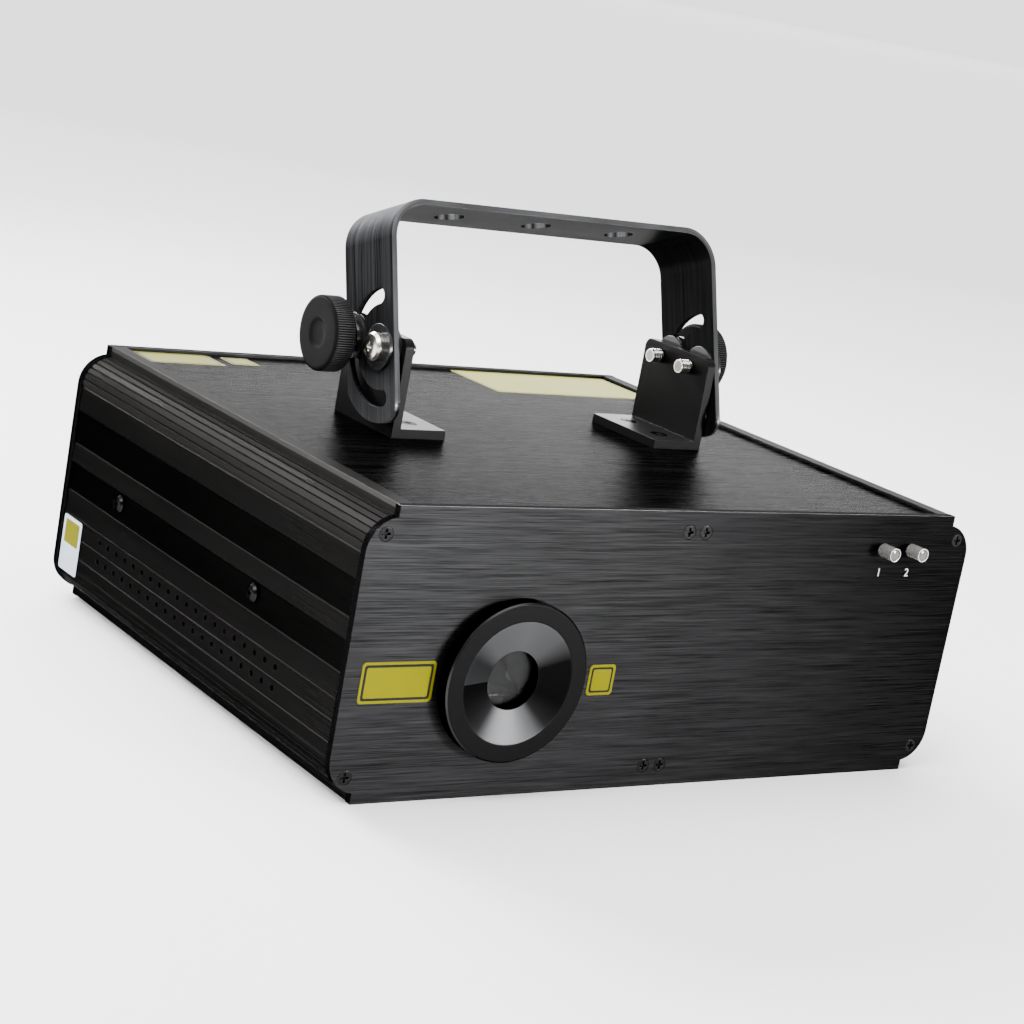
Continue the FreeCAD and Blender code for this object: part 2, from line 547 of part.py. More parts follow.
for name, side in (("bracket_left", -1), ("bracket_right", 1)):
    start = "bracket_face - bracket_thick" if side > 0 else "-bracket_face"
    upright = padded(name + "_upright", "YZ", [uprightOutline],
                     [(along, pivotZ, "large_shank + thread_gap") for along in (pivotY, clampY)],
                     "bracket_thick", (start, "0", "0"))
    foot = box(name + "_foot", (f"{side}*(bracket_face - bracket_foot/2)", bracketY,
                                f"{panelTop} + bracket_thick/2"),
               ("bracket_foot", "bracket_depth", "bracket_thick"))
    holes = [(x, y, f"{panelTop} + bracket_thick") for x, y in footScrews if x.startswith(f"{side}*")]
    node(cut(name, fuse(name + "_blank", upright, foot), copies(name + "_holes", footCone, holes)))
footEnd = "-bracket_thick - panel_thick - nut_thick - 1"
footScrew = crossed("foot_screw", turned("foot_screw_blank", [
    ("0", footEnd), ("medium_shank", footEnd),
    ("medium_shank", "medium_shank - foot_screw_head"), ("foot_screw_head", "0"), ("0", "0")]), "0")
node(copies("bracket_screws", footScrew, [(x, y, f"{panelTop} + bracket_thick") for x, y in footScrews]))
hexagon = document.addObject("Part::Prism", "nut_blank")
hexagon.Polygon = 6
bind(hexagon, Circumradius="nut_flat/sqrt(3)", Height="nut_thick")
nut = cut("nut", hexagon, rod("nut_bore", ("0", "0", "-1"), "+Z", "medium_shank + thread_gap",
                              "nut_thick + 2"))
node(copies("bracket_nuts", nut, [(x, y, f"{panelUnder} - nut_thick") for x, y in footScrews]))

# Yoke: a bent strap with shaped arms, drawn about its pivot and leaned back
yokeHalf = "(bracket_face + yoke_gap + strap_thick)"
armInner = "(bracket_face + yoke_gap)"
bendX = f"({yokeHalf} - yoke_bend)"
armFoot = "-arm_end - 5"
half = [(yokeHalf, armFoot), (yokeHalf, "yoke_top - yoke_bend", "yoke_bend", 1), (bendX, "yoke_top")]
strapOutline = half + [
    (f"-{bendX}", "yoke_top", "yoke_bend", 1), (f"-{yokeHalf}", "yoke_top - yoke_bend"),
    (f"-{yokeHalf}", armFoot),
    (f"-{armInner}", armFoot), (f"-{armInner}", "yoke_top - yoke_bend", "yoke_bend - strap_thick", -1),
    (f"-{bendX}", "yoke_top - strap_thick"), (bendX, "yoke_top - strap_thick", "yoke_bend - strap_thick", -1),
    (armInner, "yoke_top - yoke_bend"), (armInner, armFoot)]
strap = padded("yoke_strap", "XZ", [strapOutline], [], "strap_front + strap_rear", ("0", "-strap_front", "0"))
roundRise = "sqrt((arm_end - arm_round)^2 - (strap_front - arm_round)^2)"
armOutline = [
    ("-strap_front", f"-{roundRise}", "arm_round", 1),
    ("(arm_round - strap_front)*arm_end/(arm_end - arm_round)",
     f"-{roundRise}*arm_end/(arm_end - arm_round)", "arm_end", 1),
    ("strap_rear", "-sqrt(arm_end^2 - strap_rear^2)"), ("strap_rear", "yoke_top + 1"),
    ("-strap_front", "yoke_top + 1")]
armBlank = padded("yoke_arms", "YZ", [armOutline], [], f"2*{yokeHalf} + 2", (f"-{yokeHalf} - 1", "0", "0"))
across = f"2*{yokeHalf} + 2"
acrossFrom = f"-{yokeHalf} - 1"
slotRing = cut("slot_ring", rod("slot_outer", (acrossFrom, "0", "0"), "+X", "slot_reach + slot_width/2",
                                across),
               rod("slot_inner", (acrossFrom, "0", "0"), "+X", "slot_reach - slot_width/2", across))
slotSide = box("slot_side", ("0", "slot_reach", "0"), (across, "2*slot_reach", "4*slot_reach"))
slotHalf = common("slot_half", slotRing, slotSide)
slotEnds = [rod("slot_end", (acrossFrom, "0", f"{side}*slot_reach"), "+X", "slot_width/2", across)
            for side in (-1, 1)]
pivotBore = rod("pivot_bore", (acrossFrom, "0", "0"), "+X", "large_shank + running_gap", across)
strapMiddle = "(strap_rear - strap_front)/2"
strapHoles = [rod("strap_bore", (f"{step}*strap_hole_pitch", strapMiddle, "yoke_top - 2*strap_thick"),
                  "+Z", "strap_hole", "3*strap_thick") for step in (-1, 0, 1)]
yoke = cut("yoke", common("yoke_blank", strap, armBlank), slotHalf, *slotEnds, pivotBore, *strapHoles)
yoke.Placement = FreeCAD.Placement(FreeCAD.Vector(),
                                   FreeCAD.Rotation(FreeCAD.Vector(-1, 0, 0), sizes["yoke_lean"]))
bind(yoke, **{"Placement.Rotation.Angle": "yoke_lean", "Placement.Base.y": pivotY,
              "Placement.Base.z": pivotZ})
node(yoke)

# Pivot screws with their washers, heads outward, and spacers between arm and bracket
outside = f"({yokeHalf} + slide_gap)"
headSeat = f"({outside} + washer_thick + spring_washer_thick)"
pivotReach = f"({headSeat} - bracket_face + bracket_thick + stud_out)"
pivotScrew = crossed("pivot_screw", turned("pivot_screw_blank", [
    ("0", f"-{pivotReach}"), ("large_shank", f"-{pivotReach}"), ("large_shank", "0"), ("large_head", "0"),
    ("large_head", "large_head_rise*0.4"), ("large_head*0.85", "large_head_rise*0.8"),
    ("large_head*0.5", "large_head_rise"), ("0", "large_head_rise")]), "large_head_rise", "1.8*cross_depth")


def ring(name, outer, inner, thick):
    return turned(name, [(inner, "0"), (outer, "0"), (outer, thick), (inner, thick)])


def pair(name, original, distance, along):
    return node(group(name, link(name + "_right", original, (distance, along, pivotZ), "+X"),
                      link(name + "_left", original, (f"-({distance})", along, pivotZ), "-X")))


pair("pivot_screws", pivotScrew, headSeat, pivotY)
boltHole = "large_shank + hole_gap"
pair("pivot_washers", ring("pivot_washer", "washer_radius", boltHole, "washer_thick"), outside, pivotY)
pair("pivot_spring_washers", ring("spring_washer", "spring_washer_radius", boltHole, "spring_washer_thick"),
     f"{outside} + washer_thick", pivotY)
spacer = ring("spacer", "washer_radius", boltHole, "yoke_gap - slide_gap")
node(group("spacer_washers", *[link("spacer_washer", spacer, (f"{side}*bracket_face", along, pivotZ), axis)
                               for side, axis in ((1, "+X"), (-1, "-X")) for along in (pivotY, clampY)]))

# Clamp knobs: a washer that follows the knob, a stud with a collar, a head with a dimple
collarSeat = f"({outside} + washer_thick)"
knobSeat = f"({collarSeat} + collar_thick)"
studReach = f"({collarSeat} - bracket_face + bracket_thick + stud_out)"
knobEnd = "neck_length + knob_thick"
for end, side, axis in (("left", "-", "-X"), ("right", "", "+X")):
    node(turned(f"clamp_washer_{end}", [
        (boltHole, "0"), ("washer_radius", "0"), ("washer_radius", "washer_thick"),
        (boltHole, "washer_thick")],
        (f"{side}{outside}", clampY, pivotZ), axis))
    node(turned(f"knob_stud_{end}", [
        ("0", f"-{studReach}"), ("stud_radius", f"-{studReach}"), ("stud_radius", "0"),
        ("collar_radius", "0"),
        ("collar_radius", "collar_thick"), ("stud_radius", "collar_thick"),
        ("stud_radius", "collar_thick + stud_bury"), ("0", "collar_thick + stud_bury")],
        (f"{side}{collarSeat}", clampY, pivotZ), axis))
    node(turned(f"knob_{end}", [
        ("stud_radius", "0"), ("neck_radius", "0"), ("neck_radius", "neck_length"),
        ("knob_radius - knob_edge", "neck_length"), ("knob_radius", "neck_length + knob_edge"),
        ("knob_radius", f"{knobEnd} - knob_edge"),
        ("knob_radius - knob_edge", knobEnd), ("dimple_radius", knobEnd),
        ("dimple_radius*0.85", f"{knobEnd} - dimple_depth"), ("0", f"{knobEnd} - dimple_depth"),
        ("0", "stud_bury"), ("stud_radius", "stud_bury")], (f"{side}{knobSeat}", clampY, pivotZ), axis))

# Aperture ring with a dish, glass seated from behind, and a ring nut
aperture = ("-aperture_x", frontFace, "aperture_z")
node(turned("aperture_ring", [
    ("dish_inner", "-window_set"), ("dish_inner", "ring_proud - dish_depth"), ("rim_inner", "ring_proud"),
    ("ring_radius - ring_edge", "ring_proud"), ("ring_radius", "ring_proud - ring_edge"),
    ("ring_radius", "0"),
    ("spigot_radius", "0"), ("spigot_radius", "-spigot_length"), ("window_radius", "-spigot_length"),
    ("window_radius", "-window_set")], aperture, "-Y"))
node(turned("aperture_window", [
    ("0", "-window_set - window_thick"), ("window_radius", "-window_set - window_thick"),
    ("window_radius", "-window_set"), ("0", "-window_set")], aperture, "-Y"))
node(turned("aperture_nut", [
    ("spigot_radius + thread_gap", "-spigot_length"), ("ring_nut_radius", "-spigot_length"),
    ("ring_nut_radius", "-plate_thick"), ("spigot_radius + thread_gap", "-plate_thick")], aperture, "-Y"))

# Indicator lamps in plated tubes
lampSpots = [(across, frontFace, up) for across, up in lampPlaces]
tubeBore = "bezel_radius - bezel_wall"
node(copies("led_bezels", ring("led_bezel", "bezel_radius", tubeBore, "bezel_proud + bezel_tail"),
            [(x, f"{y} + bezel_tail", z) for x, y, z in lampSpots], "-Y"))
lampTop = "(bezel_proud - lamp_recess)"
lamp = turned("lamp", [
    ("0", "-lamp_tail"), (tubeBore, "-lamp_tail"), (tubeBore, f"{lampTop} - ({tubeBore})", tubeBore, 1),
    ("0", lampTop)])
node(copies("indicator_leds", lamp, lampSpots, "-Y"))
node(copies("led_nuts", ring("led_nut", "lamp_nut_radius", "bezel_radius + thread_gap", "lamp_nut_thick"),
            [(x, f"{frontInside} + lamp_nut_thick", z) for x, y, z in lampSpots], "-Y"))

# Mains inlet with a socket above and a fuse drawer below
inletBlank = fuse("inlet_blank",
                  box("inlet_flange", ("-inlet_x", f"{rearFace} + flange_thick/2", "inlet_z"),
                      ("inlet_flange_width", "flange_thick", "inlet_height + 2*inlet_rim")),
                  box("inlet_body", ("-inlet_x", f"{rearFace} - inlet_inside/2", "inlet_z"),
                      ("inlet_width", "inlet_inside", "inlet_height")))
inletMouth = f"{rearFace} + flange_thick"
socket = box("inlet_socket", ("-inlet_x", f"{inletMouth} - socket_depth/2 + 1", "inlet_z + socket_lift"),
             ("socket_width", "socket_depth + 2", "socket_height"))
drawerHole = box("drawer_hole", ("-inlet_x", f"{inletMouth} - drawer_depth/2", "inlet_z - drawer_drop"),
                 ("drawer_width + 2*drawer_gap", "drawer_depth + 2*drawer_gap",
                  "drawer_height + 2*drawer_gap"))
flangeHole = ("small_shank + hole_gap", "flange_thick + 2")
inletDrills = [rod("inlet_drill", (across, f"{rearFace} - 1", up), "+Y", *flangeHole)
               for across, up in connectorScrews[4:]]
bladeDepth = "(socket_depth - blade_set)"
bladePlaces = [("-inlet_x - blade_pitch", "inlet_z + socket_lift"),
               ("-inlet_x + blade_pitch", "inlet_z + socket_lift"),
               ("-inlet_x", "inlet_z + socket_lift + earth_lift")]
node(cut("power_inlet", inletBlank, socket, drawerHole, *inletDrills))
node(fuse("fuse_drawer",
          box("drawer_tray", ("-inlet_x", f"{inletMouth} - drawer_depth/2", "inlet_z - drawer_drop"),
              ("drawer_width", "drawer_depth", "drawer_height")),
          box("drawer_lip", ("-inlet_x", f"{inletMouth} + drawer_grip/2", "inlet_z - drawer_drop"),
              ("drawer_width/2", "drawer_grip", "drawer_height/2"))))

# Data input with pins and data output with sockets, on the same flange
dataMouth = f"{rearFace} + flange_thick"


def dataShell(name, across, up, first):
    flange = box(name + "_flange", (across, f"{rearFace} + flange_thick/2", up),
                 ("data_flange_width", "flange_thick", "data_flange_height"))
    shell = rod(name + "_shell", (across, f"{rearFace} - data_inside", up), "+Y", "data_body",
                "data_inside + flange_thick/2")
    drills = [rod(name + "_drill", (x, f"{rearFace} - 1", z), "+Y", *flangeHole)
              for x, z in connectorScrews[first:first + 2]]
    return fuse(name + "_blank", flange, shell), drills


pinSpots = [("data_pin_ring", "0"), ("-data_pin_ring", "0"), ("0", "-data_pin_ring")]
blank, drills = dataShell("dmx_input", *dataCentres[0], 0)
cavityFloor = f"{dataMouth} - data_cavity_depth"
cavity = rod("input_cavity", (dataCentres[0][0], cavityFloor, "data_z"), "+Y", "data_cavity",
             "data_cavity_depth + 1")
node(cut("dmx_input", blank, cavity, *drills))
blank, drills = dataShell("dmx_output", *dataCentres[1], 2)
holeFloor = f"{dataMouth} - data_hole_depth"
holes = [rod("output_hole", (f"{dataCentres[1][0]} + {x}", holeFloor, f"data_z + {z}"), "+Y",
             "data_hole", "data_hole_depth + 1") for x, z in pinSpots]
node(cut("dmx_output", blank, *holes, *drills))
inputPins = [rod("input_pin", (f"{dataCentres[0][0]} + {x}", cavityFloor, f"data_z + {z}"), "+Y",
                 "data_pin", "data_cavity_depth - data_pin_set") for x, z in pinSpots]
bladeSize = ("blade_width", bladeDepth, "blade_height")
blades = [box("inlet_blade", (x, f"{inletMouth} - socket_depth + {bladeDepth}/2", z), bladeSize)
          for x, z in bladePlaces]
node(group("connector_pins", *inputPins, *blades))
flangeEnd = "-flange_thick - plate_thick - 2"
flangeScrew = crossed("flange_screw", turned("flange_screw_blank", [
    ("0", flangeEnd), ("small_shank", flangeEnd), ("small_shank", "0"),
    ("small_head*0.93", "0"), ("small_head*0.93", "small_head*0.4"), ("small_head*0.6", "small_head*0.7"),
    ("0", "small_head*0.7")]), "small_head*0.7")
flangePlaces = [(x, f"{rearFace} + flange_thick", z) for x, z in connectorScrews]
node(copies("connector_screws", flangeScrew, flangePlaces, "+Y"))

# Key switch: threaded body with a bezel, and a barrel that turns in it
keySpot = ("-key_x", rearFace, "key_z")
barrelBore = "barrel_radius + running_gap"
node(turned("key_switch", [
    (barrelBore, "-key_inside"), ("key_body", "-key_inside"), ("key_body", "0"), ("key_bezel", "0"),
    ("key_bezel", "key_bezel_rise*0.6"), ("key_bezel*0.85", "key_bezel_rise"),
    (barrelBore, "key_bezel_rise")],
    keySpot, "+Y"))
barrel = rod("barrel_blank", ("-key_x", f"{rearFace} + barrel_proud - barrel_length", "key_z"), "+Y",
             "barrel_radius", "barrel_length")
node(cut("key_barrel", barrel, box("keyhole", ("-key_x", f"{rearFace} + barrel_proud", "key_z"),
                                   ("keyhole_width", "2*keyhole_depth", "keyhole_height"))))

# Display window and menu buttons
node(fuse("display_window",
          box("display_pane", (displayCentre[0], f"{rearFace} - plate_thick/2", displayCentre[1]),
              ("display_width - 2*hole_gap", "plate_thick", "display_height - 2*hole_gap")),
          box("display_edge", (displayCentre[0], f"{rearInside} - display_lip_thick/2", displayCentre[1]),
              ("display_width + 2*display_lip", "display_lip_thick", "display_height + 2*display_lip"))))
for index, (across, up) in enumerate(buttonPlaces, 1):
    node(turned(f"menu_button_{index}", [
        ("0", "-plate_thick - button_flange_thick - 1"),
        ("button_stem", "-plate_thick - button_flange_thick - 1"),
        ("button_stem", "-plate_thick - button_flange_thick - slide_gap"),
        ("button_flange", "-plate_thick - button_flange_thick - slide_gap"),
        ("button_flange", "-plate_thick - slide_gap"), ("button_radius", "-plate_thick - slide_gap"),
        ("button_radius", "button_proud*0.8"),
        ("button_radius*0.8", "button_proud"), ("0", "button_proud")], (across, rearFace, up), "+Y"))

# Fan: a square frame with struts to its hub, a bladed rotor, a wire guard and screws
fanBack = f"({rearInside} - fan_thick)"
frameBlank = box("fan_blank", ("fan_x", f"{rearInside} - fan_thick/2", "fan_z"),
                 ("fan_width", "fan_thick", "fan_width"))
fanDuct = rod("fan_duct", ("fan_x", f"{fanBack} - 1", "fan_z"), "+Y", "fan_bore", "fan_thick + 2")
fanDrills = [rod("fan_drill", (x, f"{fanBack} - 1", z), "+Y", "medium_shank + thread_gap", "fan_thick + 2")
             for x, z in fanScrews]
strutPlace = ("fan_x", f"{fanBack} + fan_base/2", "fan_z")
fanStruts = [box("fan_strut", strutPlace, ("2*fan_bore + 2", "fan_base", "fan_strut")),
             box("fan_strut", strutPlace, ("fan_strut", "fan_base", "2*fan_bore + 2"))]
fanHub = rod("fan_hub", ("fan_x", fanBack, "fan_z"), "+Y", "fan_hub", "fan_base")
node(fuse("fan_frame", cut("fan_case", frameBlank, fanDuct, *fanDrills), *fanStruts, fanHub))
rotorStart = f"({fanBack} + fan_base + rotor_gap)"
rotorDepth = "(fan_thick - fan_base - 2*rotor_gap)"
rotorBody = document.addObject("PartDesign::Body", "rotor")
rotorPad = rotorBody.newObject("PartDesign::Pad", "rotor_pad")
rotorPad.Profile = sketch(rotorBody, "XY", [], [("0", "0", "rotor_hub")])
bind(rotorPad, Length=rotorDepth)
put(rotorBody, ("fan_x", rotorStart, "fan_z"), "+Y")
rotorBlades = []
for index in range(sizes["blade_count"]):
    blade = box("fan_blade", ("0", "0", "0"),
                ("rotor_tip - rotor_hub + 1", "blade_thick", f"{rotorDepth}*1.1"))
    turn = FreeCAD.Rotation(FreeCAD.Vector(0, 0, 1), 360 * index / sizes["blade_count"])
    slant = FreeCAD.Rotation(FreeCAD.Vector(1, 0, 0), sizes["blade_slant"])
    whole = facing["+Y"].multiply(turn).multiply(slant)
    reach = whole.multVec(FreeCAD.Vector(1, 0, 0))
    lift = whole.multVec(FreeCAD.Vector(0, 0, 1))
    side = whole.multVec(FreeCAD.Vector(0, 1, 0))
    blade.Placement = FreeCAD.Placement(FreeCAD.Vector(), whole)
    for letter, base in (("x", "fan_x"), ("y", f"{rotorStart} + {rotorDepth}/2"), ("z", "fan_z")):
        text = f"{base} + {getattr(reach, letter)}*(rotor_hub - 1)"
        text += f" - {getattr(lift, letter)}*{rotorDepth}*0.55 - {getattr(side, letter)}*blade_thick/2"
        blade.setExpression("Placement.Base." + letter, bound(text))
    rotorBlades.append(blade)
rotorSpace = rod("rotor_space", ("fan_x", rotorStart, "fan_z"), "+Y", "rotor_tip", rotorDepth)
node(common("fan_rotor", fuse("rotor_blank", rotorBody, *rotorBlades), rotorSpace))
guardY = f"{rearFace} + guard_wire"
rings = []
for step in (1, 2, 3, 4):
    hoop = ring("guard_ring", f"{step}*guard_pitch + guard_wire", f"{step}*guard_pitch - guard_wire",
                "2*guard_wire")
    rings.append(put(hoop, ("fan_x", rearFace, "fan_z"), "+Y"))
spokeSize = ("2*guard_wire", "2*guard_wire", "2*fan_screw*sqrt(2) - 2*guard_eye + 1")
spokes = [tilted("guard_spoke", ("fan_x", guardY, "fan_z"), spokeSize, FreeCAD.Vector(0, 1, 0), spin)
          for spin in (45, 135)]
eye = ring("guard_eye_ring", "guard_eye", "medium_shank + hole_gap", "2*guard_wire")
eyes = [link("guard_eye_link", eye, (x, rearFace, z), "+Y") for x, z in fanScrews]
node(fuse("fan_guard", *rings, *spokes, *eyes))
fanScrew = crossed("fan_screw_one", turned("fan_screw_blank", [
    ("0", "-plate_thick - fan_thick/2"), ("medium_shank", "-plate_thick - fan_thick/2"),
    ("medium_shank", "0"),
    ("medium_head*0.9", "0"), ("medium_head*0.9", "medium_head_rise*0.5"),
    ("medium_head*0.5", "medium_head_rise"),
    ("0", "medium_head_rise")]), "medium_head_rise")
node(copies("fan_screws", fanScrew, [(x, f"{rearFace} + 2*guard_wire", z) for x, z in fanScrews], "+Y"))

# Tray across the profiles' lower bosses, with tabs for the side screws
trayLow = "(shoulder_drop + boss_rise)"
trayTop = f"({trayLow} + tray_thick)"
floorPlate = box("tray_floor", ("0", "0", f"{trayLow} + tray_thick/2"),
                 (f"2*{wallX}", f"{insideDepth} - 2*tray_end_gap", "tray_thick"))
tabHeight = f"({sideScrewZ} + tab_over - {trayLow})"
tabs = [box("tray_tab", (f"{side}*({wallX} - tray_thick/2)", along, f"{trayLow} + {tabHeight}/2"),
            ("tray_thick", "tab_width", tabHeight)) for side in (-1, 1) for along, up in sidePlaces]
tabDrills = [rod("tab_drill", (f"-{wallX} - 1", along, up), "+X", "medium_shank + thread_gap",
                 f"2*{wallX} + 2")
             for along, up in sidePlaces]
node(cut("chassis_tray", fuse("tray_blank", floorPlate, *tabs), *tabDrills))

# Scanner: the last mirror turns about X behind the window, the first one about Y above it
scanY = f"({frontFace} + scan_depth)"
foldZ = "(aperture_z + scan_lift)"
motorBody = turned("scanner_motor", [
    ("shaft_radius + running_gap", "0"), ("motor_radius", "0"), ("motor_radius", "motor_length"),
    ("0", "motor_length"),
    ("0", "shaft_length"), ("shaft_radius + running_gap", "shaft_length")])
motorX = "(-aperture_x + motor_set)"
motorY = f"({scanY} + fold_motor_set)"
node(group("scanner_motors", link("tilt_motor", motorBody, (motorX, scanY, "aperture_z"), "+X"),
           link("pan_motor", motorBody, ("-aperture_x", motorY, foldZ), "+Y")))
towerWidth = "2*(motor_radius + motor_wall)"
tiltTop = "aperture_z + motor_radius + motor_wall"
panTop = f"{foldZ} + motor_radius + motor_wall"
tilt = box("tilt_tower", (f"{motorX} + motor_length/2", scanY, f"({trayTop} + {tiltTop})/2"),
           ("motor_grip", "2*motor_radius + motor_wall", f"{tiltTop} - {trayTop}"))
pan = box("pan_tower", ("-aperture_x", f"{motorY} + motor_length/2", f"({trayTop} + {panTop})/2"),
          (towerWidth, "motor_grip", f"{panTop} - {trayTop}"))
motorBore = ("motor_radius + thread_gap", "motor_length")
node(group("scanner_block",
           cut("tilt_mount", tilt, rod("tilt_bore", (motorX, scanY, "aperture_z"), "+X", *motorBore)),
           cut("pan_mount", pan, rod("pan_bore", ("-aperture_x", motorY, foldZ), "+Y", *motorBore))))
tiltPlate = tilted("tilt_plate", ("-aperture_x", scanY, "aperture_z"),
                   ("scan_mirror_width", "scan_mirror_height", "mirror_thick"), FreeCAD.Vector(1, 0, 0), 45)
node(fuse("scan_mirror_y", tiltPlate,
          rod("tilt_shaft", ("-aperture_x + scan_mirror_width/4", scanY, "aperture_z"), "+X", "shaft_radius",
              "motor_set - scan_mirror_width/4 + shaft_length - 1")))
panPlate = tilted("pan_plate", ("-aperture_x", scanY, foldZ),
                  ("fold_mirror_size", "fold_mirror_size", "mirror_thick"), FreeCAD.Vector(0, 1, 0), -45)
node(fuse("scan_mirror_x", panPlate,
          rod("pan_shaft", ("-aperture_x", scanY, foldZ), "+Y", "shaft_radius",
              "fold_motor_set + shaft_length - 1")))

# Laser modules: green along the beam, red and blue from behind by way of filters on posts
laserBlock = fuse("laser_module",
                  box("laser_block", ("0", "laser_length/2", "0"),
                      ("laser_width", "laser_length", "laser_width")),
                  rod("laser_nose_tube", ("0", "-laser_nose", "0"), "+Y", "laser_barrel", "laser_nose + 1"),
                  box("laser_stand", ("0", "laser_length/2", f"-({foldZ} - {trayTop})/2"),
                      ("laser_foot", "laser_length", f"{foldZ} - {trayTop}")))
node(group("laser_modules", link("laser_red", laserBlock, ("laser_red_x", f"{scanY} + laser_back", foldZ)),
           link("laser_blue", laserBlock, ("laser_blue_x", f"{scanY} + laser_back", foldZ)),
           link("laser_green", laserBlock, ("laser_green_x", scanY, foldZ), "+Z", -90)))
filterSpots = ["laser_red_x", "laser_blue_x"]
filterSize = ("filter_size", "filter_thick", "filter_size")
postHeight = f"{foldZ} - filter_size/2 - {trayTop}"
node(group("combiner_filters", *[tilted("filter", (spot, scanY, foldZ), filterSize, FreeCAD.Vector(0, 0, 1),
                                        45)
                                 for spot in filterSpots]))
node(group("combiner_posts", *[rod("post", (spot, scanY, trayTop), "+Z", "post_radius", postHeight)
                               for spot in filterSpots]))

# Circuit boards on stand-offs: control behind the rear plate, supply and drivers on the tray
controlY = f"({rearInside} - standoff_height - board_thick/2)"
controlZ = "(housing_height - control_drop)"
controlBoard = box("control_plate", ("display_x", controlY, controlZ),
                   ("control_width", "board_thick", "control_height"))
switchRise = "(standoff_height - button_flange_thick - button_travel - switch_gap)"
switches = [box("switch", (x, f"{rearInside} - standoff_height + {switchRise}/2", z),
                ("switch_size", switchRise, "switch_size")) for x, z in buttonPlaces]
moduleY = f"{rearInside} - standoff_height/2 - display_lip_thick/2"
module = box("display_module", (displayCentre[0], moduleY, displayCentre[1]),
             ("display_width", "standoff_height - display_lip_thick", "display_height"))
node(fuse("control_board", controlBoard, module, *switches))


def laidBoard(name, across, along, size, *extras):
    return fuse(name, box(name + "_plate", (across, along, f"{trayTop} + standoff_height + board_thick/2"),
                          (*size, "board_thick")), *extras)


boardTop = f"({trayTop} + standoff_height + board_thick)"
node(laidBoard("power_supply", "supply_x", "supply_y", ("supply_width", "supply_length"),
               box("supply_core",
                   ("supply_x + core_width/4", "supply_y - supply_length/4", f"{boardTop} + core_height/2"),
                   ("core_width", "core_width", "core_height")),
               box("supply_sink", ("supply_x", "supply_y + supply_length/4", f"{boardTop} + sink_height/2"),
                   ("sink_width", "sink_thick", "sink_height"))))
node(laidBoard("driver_board", "-driver_x", "driver_y", ("driver_width", "driver_length"),
               box("driver_chip", ("-driver_x", "driver_y", f"{boardTop} + chip_height/2"),
                   ("driver_width/3", "driver_length/4", "chip_height"))))
feet = []
for across, along, wide, deep in (("supply_x", "supply_y", "supply_width", "supply_length"),
                                  ("-driver_x", "driver_y", "driver_width", "driver_length")):
    feet += [(f"{across} + {side}*({wide}/2 - standoff_inset)",
              f"{along} + {end}*({deep}/2 - standoff_inset)", trayTop) for side in (-1, 1) for end in (-1, 1)]
standoff = rod("standoff", ("0", "0", "0"), "+Z", "standoff_radius", "standoff_height")
wallFeet = [(f"display_x + {side}*(control_width/2 - standoff_inset)", f"{rearInside} - standoff_height",
             f"{controlZ} + {end}*(control_height/2 - standoff_inset)")
            for side in (-1, 1) for end in (-1, 1)]
node(group("board_standoffs", copies("tray_standoffs", standoff, feet),
           copies("wall_standoffs", standoff, wallFeet, "+Y")))

document.recompute()
faults = [item.Name for item in document.Objects if "Invalid" in item.State or "Error" in item.State]
faults += [item.Name for item in nodes
           if item.Shape.isNull() or not item.Shape.isValid() or not item.Shape.Solids]
if faults:
    raise RuntimeError("not built: " + ", ".join(faults))
os.makedirs("parts", exist_ok=True)
for item in nodes:
    item.Shape.exportStep(f"parts/{item.Label}.step")
print(len(nodes), "parts written")
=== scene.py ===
import json
import math

import bpy
import numpy as np
from mathutils import Matrix, Vector


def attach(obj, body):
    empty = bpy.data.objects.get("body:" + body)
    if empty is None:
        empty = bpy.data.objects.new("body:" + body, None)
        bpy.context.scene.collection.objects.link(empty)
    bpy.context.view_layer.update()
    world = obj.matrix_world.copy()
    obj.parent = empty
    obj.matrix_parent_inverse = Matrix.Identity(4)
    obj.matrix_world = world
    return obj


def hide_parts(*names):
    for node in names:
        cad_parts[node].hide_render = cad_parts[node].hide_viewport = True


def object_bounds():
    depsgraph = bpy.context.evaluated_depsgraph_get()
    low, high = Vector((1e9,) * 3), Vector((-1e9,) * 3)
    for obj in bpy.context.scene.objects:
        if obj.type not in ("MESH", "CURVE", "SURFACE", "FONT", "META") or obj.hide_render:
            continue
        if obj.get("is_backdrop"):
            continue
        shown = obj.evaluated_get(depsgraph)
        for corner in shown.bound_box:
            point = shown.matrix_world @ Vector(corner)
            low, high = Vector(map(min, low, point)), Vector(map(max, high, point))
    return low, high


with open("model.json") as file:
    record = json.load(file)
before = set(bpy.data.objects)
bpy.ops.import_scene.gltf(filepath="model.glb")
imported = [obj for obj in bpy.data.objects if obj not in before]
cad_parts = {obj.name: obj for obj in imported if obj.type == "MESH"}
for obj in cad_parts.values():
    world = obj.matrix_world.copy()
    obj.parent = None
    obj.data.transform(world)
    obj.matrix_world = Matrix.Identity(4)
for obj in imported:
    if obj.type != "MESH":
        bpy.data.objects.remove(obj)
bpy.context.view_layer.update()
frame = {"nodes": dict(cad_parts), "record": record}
nodes = frame["nodes"]
print("frame loaded:", len(nodes), "nodes")

mm = 0.001
# the axes of the pivot screws and the clamp studs run sideways: their place along the depth, and their height
pivotAxis = (-9.2 * mm, 148.8 * mm)
studAxis = (11.8 * mm, 148.8 * mm)
apertureCentre = (-78.3 * mm, 0, 47.8 * mm)
lampPlaces = (102.15 * mm, 118.25 * mm)
frontY = -125.5 * mm
rearY = 125.5 * mm
deckZ = 113.8 * mm


